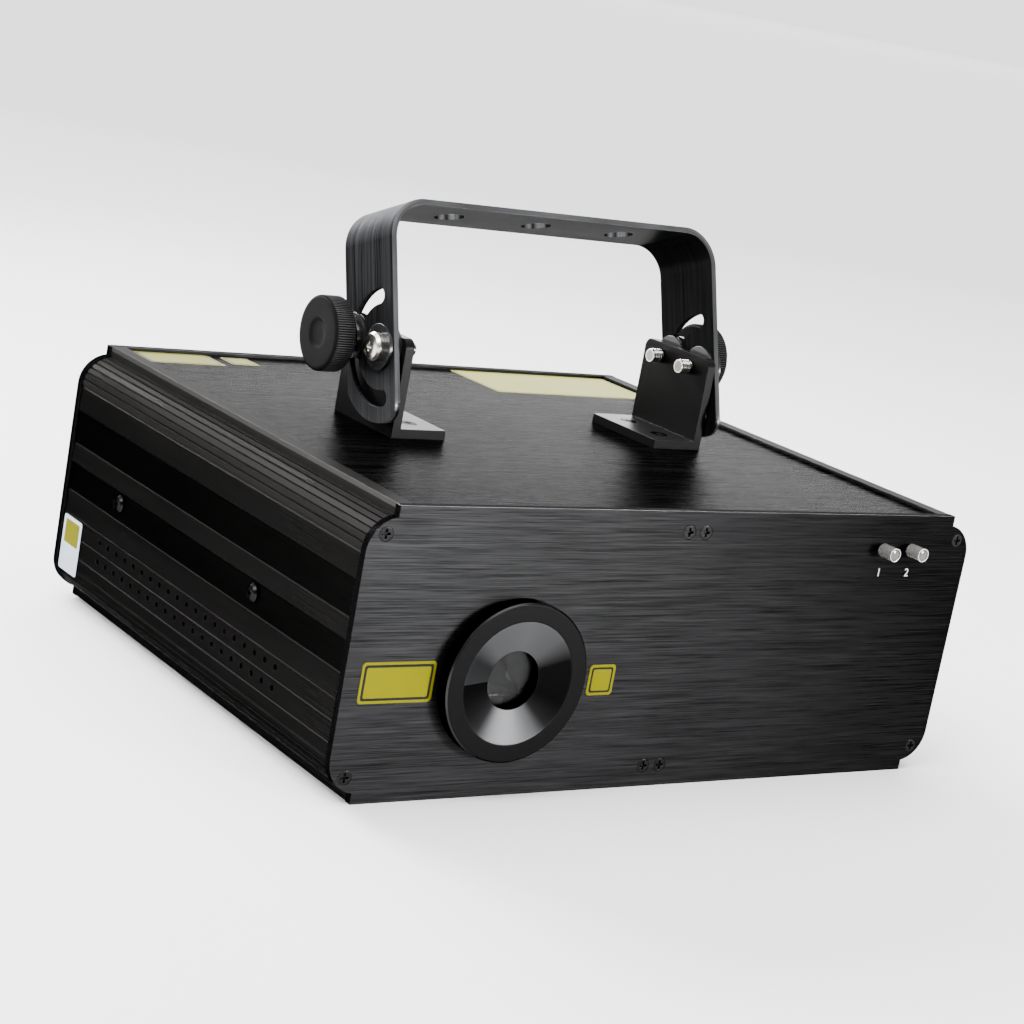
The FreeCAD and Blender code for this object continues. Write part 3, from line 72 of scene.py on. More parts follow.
# one shader socket; arithmetic on it adds Math nodes
class Wire:
    def __init__(self, tree, owner=None, output=0):
        self.tree = tree
        self.socket = owner.outputs[output] if owner else None

    # any node: its settings first, then the values or links of its sockets
    def node(self, kind, settings=None, sockets=None, output=0):
        made = self.tree.nodes.new(kind)
        for name, value in (settings or {}).items():
            if name == "stops":
                ramp = made.color_ramp.elements
                while len(ramp) < len(value):
                    ramp.new(0.5)
                for stop, (place, shade) in zip(ramp, value):
                    stop.position = place
                    stop.color = (shade, shade, shade, 1) if np.isscalar(shade) else (*shade, 1)
            else:
                setattr(made, name, value)
        for name, value in (sockets or {}).items():
            if isinstance(value, Wire):
                self.tree.links.new(value.socket, made.inputs[name])
            else:
                made.inputs[name].default_value = value
        return Wire(self.tree, made, output)

    def calc(self, operation, first, second):
        return self.node("ShaderNodeMath", {"operation": operation}, {0: first, 1: second})

    def __add__(self, other):
        return self.calc("ADD", self, other)

    def __radd__(self, other):
        return self.calc("ADD", other, self)

    def __sub__(self, other):
        return self.calc("SUBTRACT", self, other)

    def __rsub__(self, other):
        return self.calc("SUBTRACT", other, self)

    def __mul__(self, other):
        return self.calc("MULTIPLY", self, other)

    def __rmul__(self, other):
        return self.calc("MULTIPLY", other, self)

    def __truediv__(self, other):
        return self.calc("DIVIDE", self, other)

    def __pow__(self, other):
        return self.calc("POWER", self, other)

    def __gt__(self, other):
        return self.calc("GREATER_THAN", self, other)

    def __lt__(self, other):
        return self.calc("LESS_THAN", self, other)


# a material with one Principled shader; the recipe gives its sockets from the surface's own coordinates
def finish(name, recipe):
    material = bpy.data.materials.new(name)
    material.use_nodes = True
    material.node_tree.nodes.clear()
    wire = Wire(material.node_tree)
    place = wire.node("ShaderNodeTexCoord", output="Object")
    shader = wire.node("ShaderNodeBsdfPrincipled", None, recipe(wire, place))
    output = material.node_tree.nodes.new("ShaderNodeOutputMaterial")
    material.node_tree.links.new(shader.socket, output.inputs["Surface"])
    return material


# coordinates turned first and then scaled, because one mapping alone would scale first
def stretched(wire, place, scale, turn=(0, 0, 0)):
    leaned = wire.node("ShaderNodeMapping", None, {"Vector": place, "Rotation": turn})
    return wire.node("ShaderNodeMapping", None, {"Vector": leaned, "Scale": scale})


def noise(wire, place, scale, detail=2.0, rough=0.5):
    return wire.node("ShaderNodeTexNoise", None,
                     {"Vector": place, "Scale": scale, "Detail": detail, "Roughness": rough})


def ramp(wire, value, *stops):
    return wire.node("ShaderNodeValToRGB", {"stops": stops}, {"Fac": value})


# bump on a normal that is rounded over nearby edges, so that edges catch the light
def raised(wire, height, strength, distance, edge=0.0004):
    rounded = wire.node("ShaderNodeBevel", {"samples": 4}, {"Radius": edge})
    return wire.node("ShaderNodeBump", None, {"Height": height, "Strength": strength, "Distance": distance,
                                              "Normal": rounded})


def blend(wire, share, first, second):
    return wire.node("ShaderNodeMix", {"data_type": "RGBA"}, {"Factor": share, 6: first, 7: second}, 2)


def part(wire, place, letter):
    return wire.node("ShaderNodeSeparateXYZ", None, {"Vector": place}, letter)


def shaded(colour, factor):
    return tuple(min(1.0, channel * factor) for channel in colour)


# a colour that drifts between a darker and a lighter shade of itself
def mottled(wire, value, colour, darkest, lightest):
    return ramp(wire, value, (0.3, shaded(colour, darkest)), (0.7, shaded(colour, lightest)))


# a colour that is darker and lighter along the streaks
def streaked(wire, streak, colour, sharp, contrast):
    return ramp(wire, streak, (0.5 - sharp, shaded(colour, 1 - contrast)), (0.5, colour),
                (0.5 + sharp, shaded(colour, 1 + contrast)))


# brushed sheet: noise drawn out along the grain, so each streak is long and under a millimetre wide
# bare(wire, place) gives where the film is cut through and the metal shows, and where the metal colour is
# painted on as a highlight; inner gives where the surface is painted darker and duller as shade, in the
# colour deep
brush = {"broad": 0.3, "smudge": 9.0, "smudgeRough": 0.08, "deepGrain": 0.5, "bareGrain": 0.4, "bump": 0.4,
         "metal": (0.16, 0.163, 0.17)}


def brushed(name, colour, scale, turn=(0, 0, 0), rough=0.36, contrast=0.4, edge=0.35, coarse=0.25,
            depth=0.00005, sharp=0.2, gloss=0.18, bareAndHighlight=None, inner=None, deep=None, dull=0.0, sheen=1.0):
    def recipe(wire, place):
        broadScale = tuple(span * brush["broad"] for span in scale)
        fine = noise(wire, stretched(wire, place, scale, turn), 1.0, 3.0, 0.7)
        broad = noise(wire, stretched(wire, place, broadScale, turn), 1.0, 2.0)
        smudge = noise(wire, place, brush["smudge"], 3.0)
        streak = fine * (1 - coarse) + broad * coarse
        tone = streaked(wire, streak, colour, sharp, contrast)
        polish = sheen
        if inner:
            paintedShade = inner(wire, place)
            film = streaked(wire, streak, deep, sharp, contrast * brush["deepGrain"])
            tone = blend(wire, paintedShade, tone, film)
            polish = sheen - paintedShade * dull if dull else sheen
        if bareAndHighlight:
            metal = streaked(wire, streak, brush["metal"], sharp, contrast * brush["bareGrain"])
            tone = blend(wire, bareAndHighlight(wire, place), tone, metal)
        return {"Base Color": tone, "Metallic": polish,
                "Roughness": rough + (streak - 0.5) * gloss + smudge * brush["smudgeRough"],
                "Specular Tint": (edge, edge, edge, 1), "Specular IOR Level": 0.0,
                "Normal": raised(wire, fine, brush["bump"], depth)}
    return finish(name, recipe)


# the sawn top edges of the two end plates: bare metal, and painted lighter as the highlight along them
sawnEdgeSheen = {"from": 114.9 * mm, "share": 0.7}


def plateTop(wire, place):
    return (part(wire, place, "Z") > sawnEdgeSheen["from"]) * sawnEdgeSheen["share"]


# the front plate is painted darker towards its upper right corner, on its front face: painted shade
plateShade = {"from": -110 * mm, "span": 240 * mm, "low": 50 * mm, "rise": 65 * mm, "across": 0.85, "up": 0.25,
             "most": 0.86}


def plateFilm(wire, place):
    sideways = (part(wire, place, "X") - plateShade["from"]) / plateShade["span"]
    upwards = (part(wire, place, "Z") - plateShade["low"]) / plateShade["rise"]
    share = sideways * plateShade["across"] + upwards * plateShade["up"]
    share = wire.calc("MAXIMUM", wire.calc("MINIMUM", share, 1), 0)
    return share * plateShade["most"] * (part(wire, place, "Y") < 0)


# the yoke in its leaned frame about the pivot: edges, arm ends, strap holes, and the middle line of its bends
strapCut = {"lean": math.radians(20), "pivot": (0, *pivotAxis), "front": -9.85 * mm, "rear": 26.25 * mm,
            "reach": 30.95 * mm, "hole": 6.56 * mm, "pitch": 45.0 * mm, "middle": 8.2 * mm,
            "strapFrom": 50 * mm, "bendX": 68.8 * mm, "bendUp": 44.0 * mm, "core": 15.3 * mm}
# how much of each place shows: worn cut edges, painted shade on the inner faces, and painted highlights on
# the outsides of the bends, the lower arm ends and the walls of the holes; the walls of the holes are bright
# in two bands across the aim, as painted reflections
strapWearAndLight = {"inside": 0.85, "edges": 0.32, "bendHighlight": 0.5, "rubbedAndSheen": 0.5, "aimAside": 0.83, "aimAhead": 0.56,
             "wall": ((0.12, 0.0), (0.27, 0.75), (0.42, 0.05), (0.56, 0.85), (0.74, 0.85), (0.86, 0.0))}


# sideways, along the width and up the arm, from the pivot
def strapFrame(wire, place):
    spot = wire.node("ShaderNodeVectorMath", {"operation": "SUBTRACT"}, {0: place, 1: strapCut["pivot"]})
    x, y, z = (part(wire, spot, letter) for letter in "XYZ")
    along = y * math.cos(strapCut["lean"]) - z * math.sin(strapCut["lean"])
    rise = y * math.sin(strapCut["lean"]) + z * math.cos(strapCut["lean"])
    return x, along, rise


# how far past the starts of the bends, sideways and upwards
def strapBend(wire, x, rise):
    return (wire.calc("MAXIMUM", wire.calc("ABSOLUTE", x, 0) - strapCut["bendX"], 0),
            wire.calc("MAXIMUM", rise - strapCut["bendUp"], 0))


# the inner faces, inside the strap's middle line, painted darker and less metallic: painted shade
def strapInside(wire, place):
    x, along, rise = strapFrame(wire, place)
    aside, above = strapBend(wire, x, rise)
    return (aside * aside + above * above < strapCut["core"] ** 2) * strapWearAndLight["inside"]


# cut edges and arm ends, where the film is worn through; painted highlights on the walls of the holes, on the
# outsides of the bends and towards the foot of each arm
def strapEdges(wire, place):
    x, along, rise = strapFrame(wire, place)
    aside, above = strapBend(wire, x, rise)
    foot = (along * along + rise * rise > strapCut["reach"] ** 2) * (rise < 0)
    outer = wire.calc("ABSOLUTE", x, 0) > strapCut["pitch"] * 0.5
    sideways = x - wire.calc("SIGN", x, 0) * outer * strapCut["pitch"]
    ahead = along - strapCut["middle"]
    # the walls of the holes: two bright bands painted across a fixed aim, as painted reflections
    aim = sideways * strapWearAndLight["aimAside"] - ahead * strapWearAndLight["aimAhead"]
    wall = ramp(wire, aim / (2 * strapCut["hole"]) + 0.5, *strapWearAndLight["wall"])
    inHole = sideways * sideways + ahead * ahead < strapCut["hole"] ** 2
    hole = inHole * (rise > strapCut["strapFrom"]) * wall
    edges = (along < strapCut["front"]) + (along > strapCut["rear"]) + foot
    outside = aside * aside + above * above > strapCut["core"] ** 2
    # the outsides of the bends painted lighter: painted highlight
    bendHighlight = wire.calc("MINIMUM", aside, above) / strapCut["core"] * outside
    # the arms painted lighter towards their feet: painted light
    rubbedAndSheen = (wire.calc("MAXIMUM", 0 - rise, 0) / strapCut["reach"]) ** 2 * outside
    wearAndHighlight = edges * strapWearAndLight["edges"] + hole + bendHighlight * strapWearAndLight["bendHighlight"] + rubbedAndSheen * strapWearAndLight["rubbedAndSheen"]
    return wire.calc("MINIMUM", wearAndHighlight, 1)


# anodised or painted metal: a satin film with a fine grain and faint wear
def coated(name, colour, rough, metal=0.0, shine=0.3):
    def recipe(wire, place):
        speck = noise(wire, place, 2600.0, 2.0)
        cloud = noise(wire, place, 14.0, 4.0)
        tone = mottled(wire, cloud, colour, 0.8, 1.25)
        return {"Base Color": tone, "Metallic": metal, "Roughness": rough - 0.08 + cloud * 0.16,
                "Specular IOR Level": shine, "Normal": raised(wire, speck, 0.12, 0.00004)}
    return finish(name, recipe)


# extruded aluminium: die lines along Y, a darker film in two sunk bands, and the ribs above that and the rail
# on top painted lighter as highlight and reflection
profileFilmAndSheen = {"bands": ((71.4 * mm, 85.7 * mm), (50.4 * mm, 62.6 * mm)),
               "bandTone": (0.001, 0.001, 0.001, 1), "bandShare": 0.36, "ribs": 96.0 * mm,
               "ribSheen": 0.22, "ribRough": 0.13, "rail": 113.0 * mm, "railReflection": 0.78,
               "wearAndHighlight": (0.055, 0.054, 0.053, 1), "edge": (0.28, 0.28, 0.28, 1)}


def extruded(name, colour):
    def recipe(wire, place):
        lines = noise(wire, stretched(wire, place, (2200, 12, 2200)), 1.0, 2.0, 0.6)
        cloud = noise(wire, place, 11.0, 3.0)
        z = part(wire, place, "Z")
        sunk = sum((z > low) * (z < high) for low, high in profileFilmAndSheen["bands"])
        ribs = z > profileFilmAndSheen["ribs"]
        # ribs and rail: painted highlight and painted reflection in a lighter colour
        rubbedAndSheen = ribs * profileFilmAndSheen["ribSheen"] + (z > profileFilmAndSheen["rail"]) * profileFilmAndSheen["railReflection"]
        tone = blend(wire, rubbedAndSheen, mottled(wire, lines, colour, 0.85, 1.15), profileFilmAndSheen["wearAndHighlight"])
        tone = blend(wire, sunk * profileFilmAndSheen["bandShare"], tone, profileFilmAndSheen["bandTone"])
        spread = ribs * (z < profileFilmAndSheen["rail"]) * profileFilmAndSheen["ribRough"]
        return {"Base Color": tone, "Metallic": 1.0, "Specular Tint": profileFilmAndSheen["edge"],
                "Roughness": 0.3 + lines * 0.16 + cloud * 0.08 - sunk * 0.12 + spread,
                "Normal": raised(wire, lines, 0.06, 0.00005, 0.0003)}
    return finish(name, recipe)


# turned metal: fine rings about an axis along Y through a centre
# the dish is brighter, painted with the fan-shaped reflection of a turned cone round its axis, and a narrow
# band at the rim's chamfer is painted lighter as its highlight
ringTurning = {"pitch": 0.35 * mm, "dish": (11.8 * mm, 24.6 * mm), "wearAndHighlight": (31.35 * mm, 31.96 * mm),
               "fanHighlight": ((0.03, 0.02), (0.14, 0.03), (0.19, 0.25), (0.27, 0.34), (0.34, 0.3), (0.37, 0.06),
                       (0.44, 0.01), (0.56, 0.03), (0.63, 0.7), (0.74, 1.0), (0.87, 0.9), (0.93, 0.25))}


def lathed(name, colour, dark, bright, centre):
    def recipe(wire, place):
        spot = wire.node("ShaderNodeVectorMath", {"operation": "SUBTRACT"}, {0: place, 1: centre})
        x = part(wire, spot, "X")
        z = part(wire, spot, "Z")
        reach = (x * x + z * z) ** 0.5
        outward = wire.node("ShaderNodeCombineXYZ", None, {"X": reach / ringTurning["pitch"]})
        rings = noise(wire, outward, 1.0, 3.0, 0.7)
        turn = wire.calc("ARCTAN2", z, x) / (2 * math.pi) + 0.5
        # painted reflection: brighter and darker sectors by the angle round the axis
        sheen = ramp(wire, turn, *ringTurning["fanHighlight"])
        inside = (reach > ringTurning["dish"][0]) * (reach < ringTurning["dish"][1])
        # painted highlight on the outer chamfer
        wearAndHighlight = (reach > ringTurning["wearAndHighlight"][0]) * (reach < ringTurning["wearAndHighlight"][1])
        rim = blend(wire, wearAndHighlight, (*colour, 1), (*shaded(bright, 0.4), 1))
        tone = blend(wire, inside, rim, blend(wire, sheen, (*dark, 1), (*bright, 1)))
        return {"Base Color": tone, "Metallic": 1.0, "Roughness": 0.2 + rings * 0.12 + inside * 0.12,
                "Specular Tint": (0.12, 0.12, 0.12, 1), "Normal": raised(wire, rings, 0.2, 0.00003)}
    return finish(name, recipe)


# painted shade in the roots of the cut threads, inside a radius about the screws' axes along their free ends,
# and on the flat ends of the rods
threadShade = {"axes": (pivotAxis, studAxis), "radius": 3.03 * mm, "from": 77.4 * mm, "end": 70.3 * mm,
               "flat": 2.4 * mm, "dark": 0.9, "flatDark": 0.75}


def darkRoots(wire, place):
    x, y, z = (part(wire, place, letter) for letter in "XYZ")
    reach = [(y - across) * (y - across) + (z - up) * (z - up) for across, up in threadShade["axes"]]
    sideways = wire.calc("ABSOLUTE", x, 0)
    rootShadeMask = sum(square < threadShade["radius"] ** 2 for square in reach)
    core = sum(square < threadShade["flat"] ** 2 for square in reach)
    thread = rootShadeMask * (sideways < threadShade["from"]) * (sideways > threadShade["end"])
    return thread * threadShade["dark"] + core * (sideways < threadShade["end"]) * threadShade["flatDark"]


# plated metal with faint spotting
def plated(name, colour, rough, rootShadeMask=None, edge=1.0):
    def recipe(wire, place):
        spots = noise(wire, place, 420.0, 3.0)
        cloud = noise(wire, place, 60.0, 2.0)
        tone = mottled(wire, cloud, colour, 0.85, 1.1)
        # thread roots and rod ends painted darker: painted shade
        if rootShadeMask:
            tone = blend(wire, rootShadeMask(wire, place), tone, (0.02, 0.02, 0.02, 1))
        return {"Base Color": tone, "Metallic": 1.0, "Roughness": rough + spots * 0.14,
                "Specular Tint": (edge, edge, edge, 1), "Normal": raised(wire, spots, 0.06, 0.00005)}
    return finish(name, recipe)


# moulded plastic with a spark-eroded grain
def moulded(name, colour, rough, grain=1800.0, strength=0.2, shine=0.35):
    def recipe(wire, place):
        pits = noise(wire, place, grain, 2.0)
        cloud = noise(wire, place, 30.0, 2.0)
        tone = mottled(wire, cloud, colour, 0.85, 1.2)
        return {"Base Color": tone, "Roughness": rough - 0.06 + cloud * 0.12, "Specular IOR Level": shine,
                "Normal": raised(wire, pits, strength, 0.00005)}
    return finish(name, recipe)


# knurled plastic about an axis along X: the crests of its ridges are rubbed paler and smoother, and their
# paler colour is also a painted highlight
def knurled(name, colour, wearAndHighlight, centre, crest, shine):
    def recipe(wire, place):
        pits = noise(wire, place, 2400.0, 2.0)
        cloud = noise(wire, place, 30.0, 2.0)
        y = part(wire, place, "Y") - centre[0]
        z = part(wire, place, "Z") - centre[1]
        # crests: wear and painted highlight
        rubbedAndSheen = (y * y + z * z > crest ** 2) * (0.4 + cloud * 0.8)
        tone = mottled(wire, cloud, colour, 0.85, 1.2)
        return {"Base Color": blend(wire, rubbedAndSheen, tone, (*wearAndHighlight, 1)), "Specular IOR Level": shine,
                "Roughness": 0.3 + cloud * 0.1 - rubbedAndSheen * 0.08, "Normal": raised(wire, pits, 0.15, 0.00005)}
    return finish(name, recipe)


# glass with a faint film on it
def clear(name, colour, bend=1.5):
    def recipe(wire, place):
        film = noise(wire, place, 35.0, 3.0)
        return {"Base Color": (*colour, 1), "Roughness": 0.02 + film * 0.05, "Transmission Weight": 1.0,
                "IOR": bend}
    return finish(name, recipe)


# circuit board: green film, copper lines on a grid, pale pads
def board(name):
    def recipe(wire, place):
        tracks = wire.node("ShaderNodeTexBrick", {"offset": 0.3}, {
            "Vector": place, "Color1": (0.02, 0.10, 0.05, 1), "Color2": (0.03, 0.13, 0.06, 1),
            "Mortar": (0.10, 0.22, 0.08, 1), "Scale": 60.0, "Mortar Size": 0.03}, "Color")
        cloud = noise(wire, place, 50.0, 2.0)
        return {"Base Color": tracks, "Roughness": 0.3 + cloud * 0.2}
    return finish(name, recipe)


# label film: nearly matt, with a fine fibre
def sticker(name, colour):
    def recipe(wire, place):
        fibre = noise(wire, place, 900.0, 2.0)
        cloud = noise(wire, place, 40.0, 3.0)
        tone = mottled(wire, cloud, colour, 0.93, 1.04)
        return {"Base Color": tone, "Roughness": 0.34 + cloud * 0.1, "Specular IOR Level": 0.012,
                "Normal": raised(wire, fibre, 0.05, 0.00004)}
    return finish(name, recipe)


finishes = {
    "plate_finish": brushed("brushedPlate", (0.0125, 0.0125, 0.0129), (36, 3000, 3000), rough=0.33,
                            contrast=0.75, coarse=0.0, edge=0.0, depth=0.00004, bareAndHighlight=plateTop,
                            inner=plateFilm, deep=(0.0014, 0.0014, 0.0014)),
    "panel_finish": brushed("brushedPanel", (0.0235, 0.0235, 0.0235), (14, 2100, 2100), rough=0.22,
                            contrast=0.9, coarse=0.42, edge=0.24, depth=0.0007, gloss=0.4, sharp=0.13),
    "yoke_paint": brushed("brushedStrap", (0.0175, 0.0178, 0.0187), (14, 1900, 14), (strapCut["lean"], 0, 0),
                          rough=0.28, contrast=0.9, coarse=0.1, sharp=0.15, bareAndHighlight=strapEdges,
                          inner=strapInside, deep=(0.0055, 0.0055, 0.0055), dull=0.13, sheen=0.6),
    "profile_finish": extruded("extrudedBlack", (0.0138, 0.0135, 0.0133)),
    "bracket_paint": coated("bracketPaint", (0.003, 0.003, 0.003), 0.42, shine=0.06),
    "black_screw": plated("blackOxide", (0.012, 0.012, 0.012), 0.16, edge=0.3),
    "bright_screw": plated("zincSteel", (0.72, 0.69, 0.63), 0.16, darkRoots),
    "bright_stud": plated("zincStud", (0.78, 0.77, 0.74), 0.14, darkRoots),
    "black_washer": moulded("fibreWasher", (0.014, 0.014, 0.0145), 0.24, 1800.0, 0.1, 0.4),
    "knob_plastic": knurled("knobPlastic", (0.0055, 0.0055, 0.0058), (0.06, 0.06, 0.062), studAxis,
                            15.52 * mm, 0.014),
    "ring_finish": lathed("turnedRing", (0.006, 0.006, 0.006), (0.0012, 0.0012, 0.0012),
                          (0.064, 0.065, 0.067), apertureCentre),
    "window_glass": clear("windowGlass", (0.6, 0.62, 0.62), bend=1.25),
    "bezel_chrome": coated("bezelChrome", (0.55, 0.53, 0.5), 0.2, metal=0.8, shine=0.5),
    "label_film": sticker("labelYellow", (0.128, 0.121, 0.0)),
    "lamp_lens": moulded("lampLens", (0.15, 0.143, 0.132), 0.08, 300.0, 0.02, 0.6),
    "socket_plastic": moulded("socketPlastic", (0.006, 0.006, 0.006), 0.45, shine=0.12),
    "shell_metal": coated("shellBlack", (0.008, 0.008, 0.008), 0.35, shine=0.12),
    "contact_metal": plated("contactPlating", (0.78, 0.66, 0.38), 0.15),
    "key_metal": plated("lockNickel", (0.45, 0.44, 0.42), 0.18),
    "display_tint": moulded("displayTint", (0.010, 0.001, 0.001), 0.08, 200.0, 0.01, 0.15),
    "button_plastic": moulded("buttonPlastic", (0.009, 0.009, 0.0095), 0.3, shine=0.15),
    "fan_plastic": moulded("fanPlastic", (0.02, 0.02, 0.02), 0.5),
    "guard_steel": plated("guardWire", (0.34, 0.335, 0.325), 0.22),
    "tray_metal": brushed("trayMetal", (0.55, 0.56, 0.57), (900, 12, 900), rough=0.32, contrast=0.15,
                          edge=1.0),
    "block_metal": coated("blockMetal", (0.45, 0.46, 0.47), 0.3, metal=1.0),
    "laser_metal": coated("laserBlack", (0.03, 0.03, 0.033), 0.38),
    "filter_glass": clear("filterGlass", (0.6, 0.8, 0.85)),
    "mirror_face": plated("mirrorFace", (0.86, 0.87, 0.88), 0.02),
    "board_green": board("boardGreen"),
    "standoff_brass": plated("standoffBrass", (0.72, 0.55, 0.28), 0.18),
}


# CAD nodes: their loose triangles are joined and shaded round below a crease angle
def roundShading(angle):
    tree = bpy.data.node_groups.new("roundShading", "GeometryNodeTree")
    tree.interface.new_socket("Geometry", in_out="INPUT", socket_type="NodeSocketGeometry")
    tree.interface.new_socket("Geometry", in_out="OUTPUT", socket_type="NodeSocketGeometry")
    start = tree.nodes.new("NodeGroupInput")
    end = tree.nodes.new("NodeGroupOutput")
    merge = tree.nodes.new("GeometryNodeMergeByDistance")
    merge.inputs["Distance"].default_value = 2e-6
    faces = tree.nodes.new("GeometryNodeSetShadeSmooth")
    faces.domain = "FACE"
    crease = tree.nodes.new("GeometryNodeInputMeshEdgeAngle")
    below = tree.nodes.new("FunctionNodeCompare")
    below.operation = "LESS_THAN"
    below.inputs["B"].default_value = angle
    edges = tree.nodes.new("GeometryNodeSetShadeSmooth")
    edges.domain = "EDGE"
    for one, two in ((start.outputs[0], merge.inputs["Geometry"]),
                     (merge.outputs[0], faces.inputs["Geometry"]),
                     (faces.outputs[0], edges.inputs["Geometry"]),
                     (crease.outputs["Unsigned Angle"], below.inputs["A"]),
                     (below.outputs[0], edges.inputs["Shade Smooth"]), (edges.outputs[0], end.inputs[0])):
        tree.links.new(one, two)
    return tree


slotOf = {entry["node"]: entry["material_slot"] for entry in frame["record"]["subparts"]}
shading = roundShading(math.radians(28))
for name, node in nodes.items():
    node.data.materials.clear()
    node.data.materials.append(finishes[slotOf[name]])
    modifier = node.modifiers.new("roundShading", "NODES")
    modifier.node_group = shading
print("finishes on", len(nodes), "nodes")


# an object of the scene that holds a mesh, a light or a camera, at the origin
def placed(name, data):
    made = bpy.data.objects.new(name, data)
    bpy.context.scene.collection.objects.link(made)
    return made


# faces turned outwards: the volume under a closed surface is negative where they point inwards
def outwards(mesh):
    mesh.calc_loop_triangles()
    spots = np.empty(len(mesh.vertices) * 3)
    mesh.vertices.foreach_get("co", spots)
    spots = spots.reshape(-1, 3)
    corners = np.empty(len(mesh.loop_triangles) * 3, int)
    mesh.loop_triangles.foreach_get("vertices", corners)
    first, second, third = (spots - spots.mean(0))[corners.reshape(-1, 3)].transpose(1, 0, 2)
    if np.sum(first * np.cross(second, third)) < 0:
        mesh.flip_normals()


# creases of thin trim stay sharp from a smaller angle
trimCrease = math.radians(20)


# a mesh from points and faces, in place, with creases above an angle left sharp
def piece(name, points, faces, body, slot, material=None, crease=math.radians(35)):
    mesh = bpy.data.meshes.new(name)
    mesh.from_pydata(np.asarray(points, float).reshape(-1, 3).tolist(), [], faces)
    mesh.validate()
    outwards(mesh)
    mesh.polygons.foreach_set("use_smooth", np.ones(len(mesh.polygons), bool))
    mesh.set_sharp_from_angle(angle=crease)
    mesh.materials.append(material or finishes[slot])
    made = placed(name, mesh)
    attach(made, body)
    return made


# quads between the rows of a grid; wrapped in the second direction, and in the first where asked
def gridFaces(rows, columns, wrapRows=False):
    row = np.arange(rows if wrapRows else rows - 1)[:, None]
    column = np.arange(columns)[None, :]
    after = (row + 1) % rows
    beside = (column + 1) % columns
    quads = np.stack([row * columns + column, row * columns + beside, after * columns + beside,
                      after * columns + column], -1)
    return quads.reshape(-1, 4).tolist()


# the two flat ends of a grid that is open in its first direction
def endFaces(rows, columns):
    return [list(range(columns))[::-1], list(range((rows - 1) * columns, rows * columns))]


# points round an axis: radius and height are given for each row, angle for each column or point
def wrapped(origin, axis, radius, height, angle):
    axis, side, other = across(axis)
    return (np.array(origin) + height[..., None] * axis
            + radius[..., None] * (np.cos(angle)[..., None] * side + np.sin(angle)[..., None] * other))


# corners of a profile rounded: each becomes an arc of a quadratic curve between points on its two sides
def eased(profile, size, steps=4):
    profile = np.asarray(profile, float)
    before = np.roll(profile, 1, 0) - profile
    after = np.roll(profile, -1, 0) - profile
    lengths = [np.linalg.norm(side, axis=1, keepdims=True) for side in (before, after)]
    back, ahead = [profile + side / length * np.minimum(size, length * 0.4)
                   for side, length in zip((before, after), lengths)]
    share = np.linspace(0, 1, steps)[None, :, None]
    arcs = ((1 - share) ** 2 * back[:, None] + 2 * share * (1 - share) * profile[:, None]
            + share ** 2 * ahead[:, None])
    arcs[0] = profile[0]
    arcs[-1] = profile[-1]
    return arcs.reshape(-1, 2)


# the right-handed pair of directions across an axis
def across(axis):
    axis = Vector(axis).normalized()
    side = axis.orthogonal().normalized()
    return np.array(axis), np.array(side), np.array(axis.cross(side))


# turned piece: a profile of (radius, height) carried round an axis, with ripple(angle, radius) off the radius
def turned(name, profile, origin, axis, steps, body, slot, ripple=None, material=None):
    angle = np.linspace(0, 2 * np.pi, steps, endpoint=False)[None, :]
    radius, height = np.asarray(profile, float).T[:, :, None]
    radius = radius - (ripple(angle, radius) if ripple else 0)
    points = wrapped(origin, axis, radius, height, angle)
    faces = gridFaces(len(points), steps) + endFaces(len(points), steps)
    return piece(name, points, faces, body, slot, material)


# hoop: a closed section of (radius, height), each side cut into equal steps, carried round an axis
def hoop(name, section, origin, axis, steps, body, slot, cuts=1):
    section = np.asarray(section, float)
    share = np.linspace(0, 1, cuts, endpoint=False)[None, :, None]
    outline = (section[:, None] * (1 - share) + np.roll(section, -1, 0)[:, None] * share).reshape(-1, 2)
    angle = np.linspace(0, 2 * np.pi, steps, endpoint=False)[None, :]
    radius, height = outline.T[:, :, None]
    points = wrapped(origin, axis, radius, height, angle)
    return piece(name, points, gridFaces(len(outline), steps, True), body, slot, crease=trimCrease)


# clamp knobs: a dished face, rounded edges and a knurled rim of fine straight ridges
knob = {"radius": 15.7 * mm, "neck": 6.6 * mm, "neckLength": 5.5 * mm, "thick": 9.9 * mm, "edge": 1.1 * mm,
        "dimple": 6.2 * mm, "dimpleDepth": 1.0 * mm, "ridges": 96, "ridgeDepth": 0.5 * mm, "seat": 88.15 * mm,
        "bore": 0.3 * mm, "rimBand": 1.3 * mm, "ease": 0.25 * mm}


# a triangle wave round the rim, faded out over a band inside it
def knurl(angle, radius):
    wave = np.abs(((angle * knob["ridges"] / (2 * np.pi)) % 1.0) * 2 - 1)
    onRim = np.clip((radius - (knob["radius"] - knob["rimBand"])) / knob["rimBand"], 0, 1)
    return knob["ridgeDepth"] * wave * onRim


for end, side in (("left", -1), ("right", 1)):
    top = knob["neckLength"] + knob["thick"]
    low = knob["neckLength"]
    rim = knob["radius"]
    edge = knob["edge"]
    profile = [(knob["bore"], 0), (knob["neck"], 0), (knob["neck"], low - 0.2 * mm),
               (knob["neck"] + 0.6 * mm, low), (rim - edge, low), (rim, low + edge), (rim, top - edge),
               (rim - edge * 0.45, top - edge * 0.35), (rim - edge * 1.3, top - 0.05 * mm),
               (rim - edge * 2.0, top), (knob["dimple"] + 0.5 * mm, top), (knob["dimple"], top - 0.15 * mm),
               (knob["dimple"] * 0.8, top - knob["dimpleDepth"] * 0.8),
               (knob["dimple"] * 0.5, top - knob["dimpleDepth"]), (knob["bore"], top - knob["dimpleDepth"])]
    seat = (side * knob["seat"], *studAxis)
    made = turned(f"knurledKnob_{end}", eased(profile, knob["ease"], 3), seat, (side, 0, 0),
                  knob["ridges"] * 4, f"knob_{end}", "knob_plastic", knurl)
    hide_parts(f"knob_{end}")
print("knobs knurled")


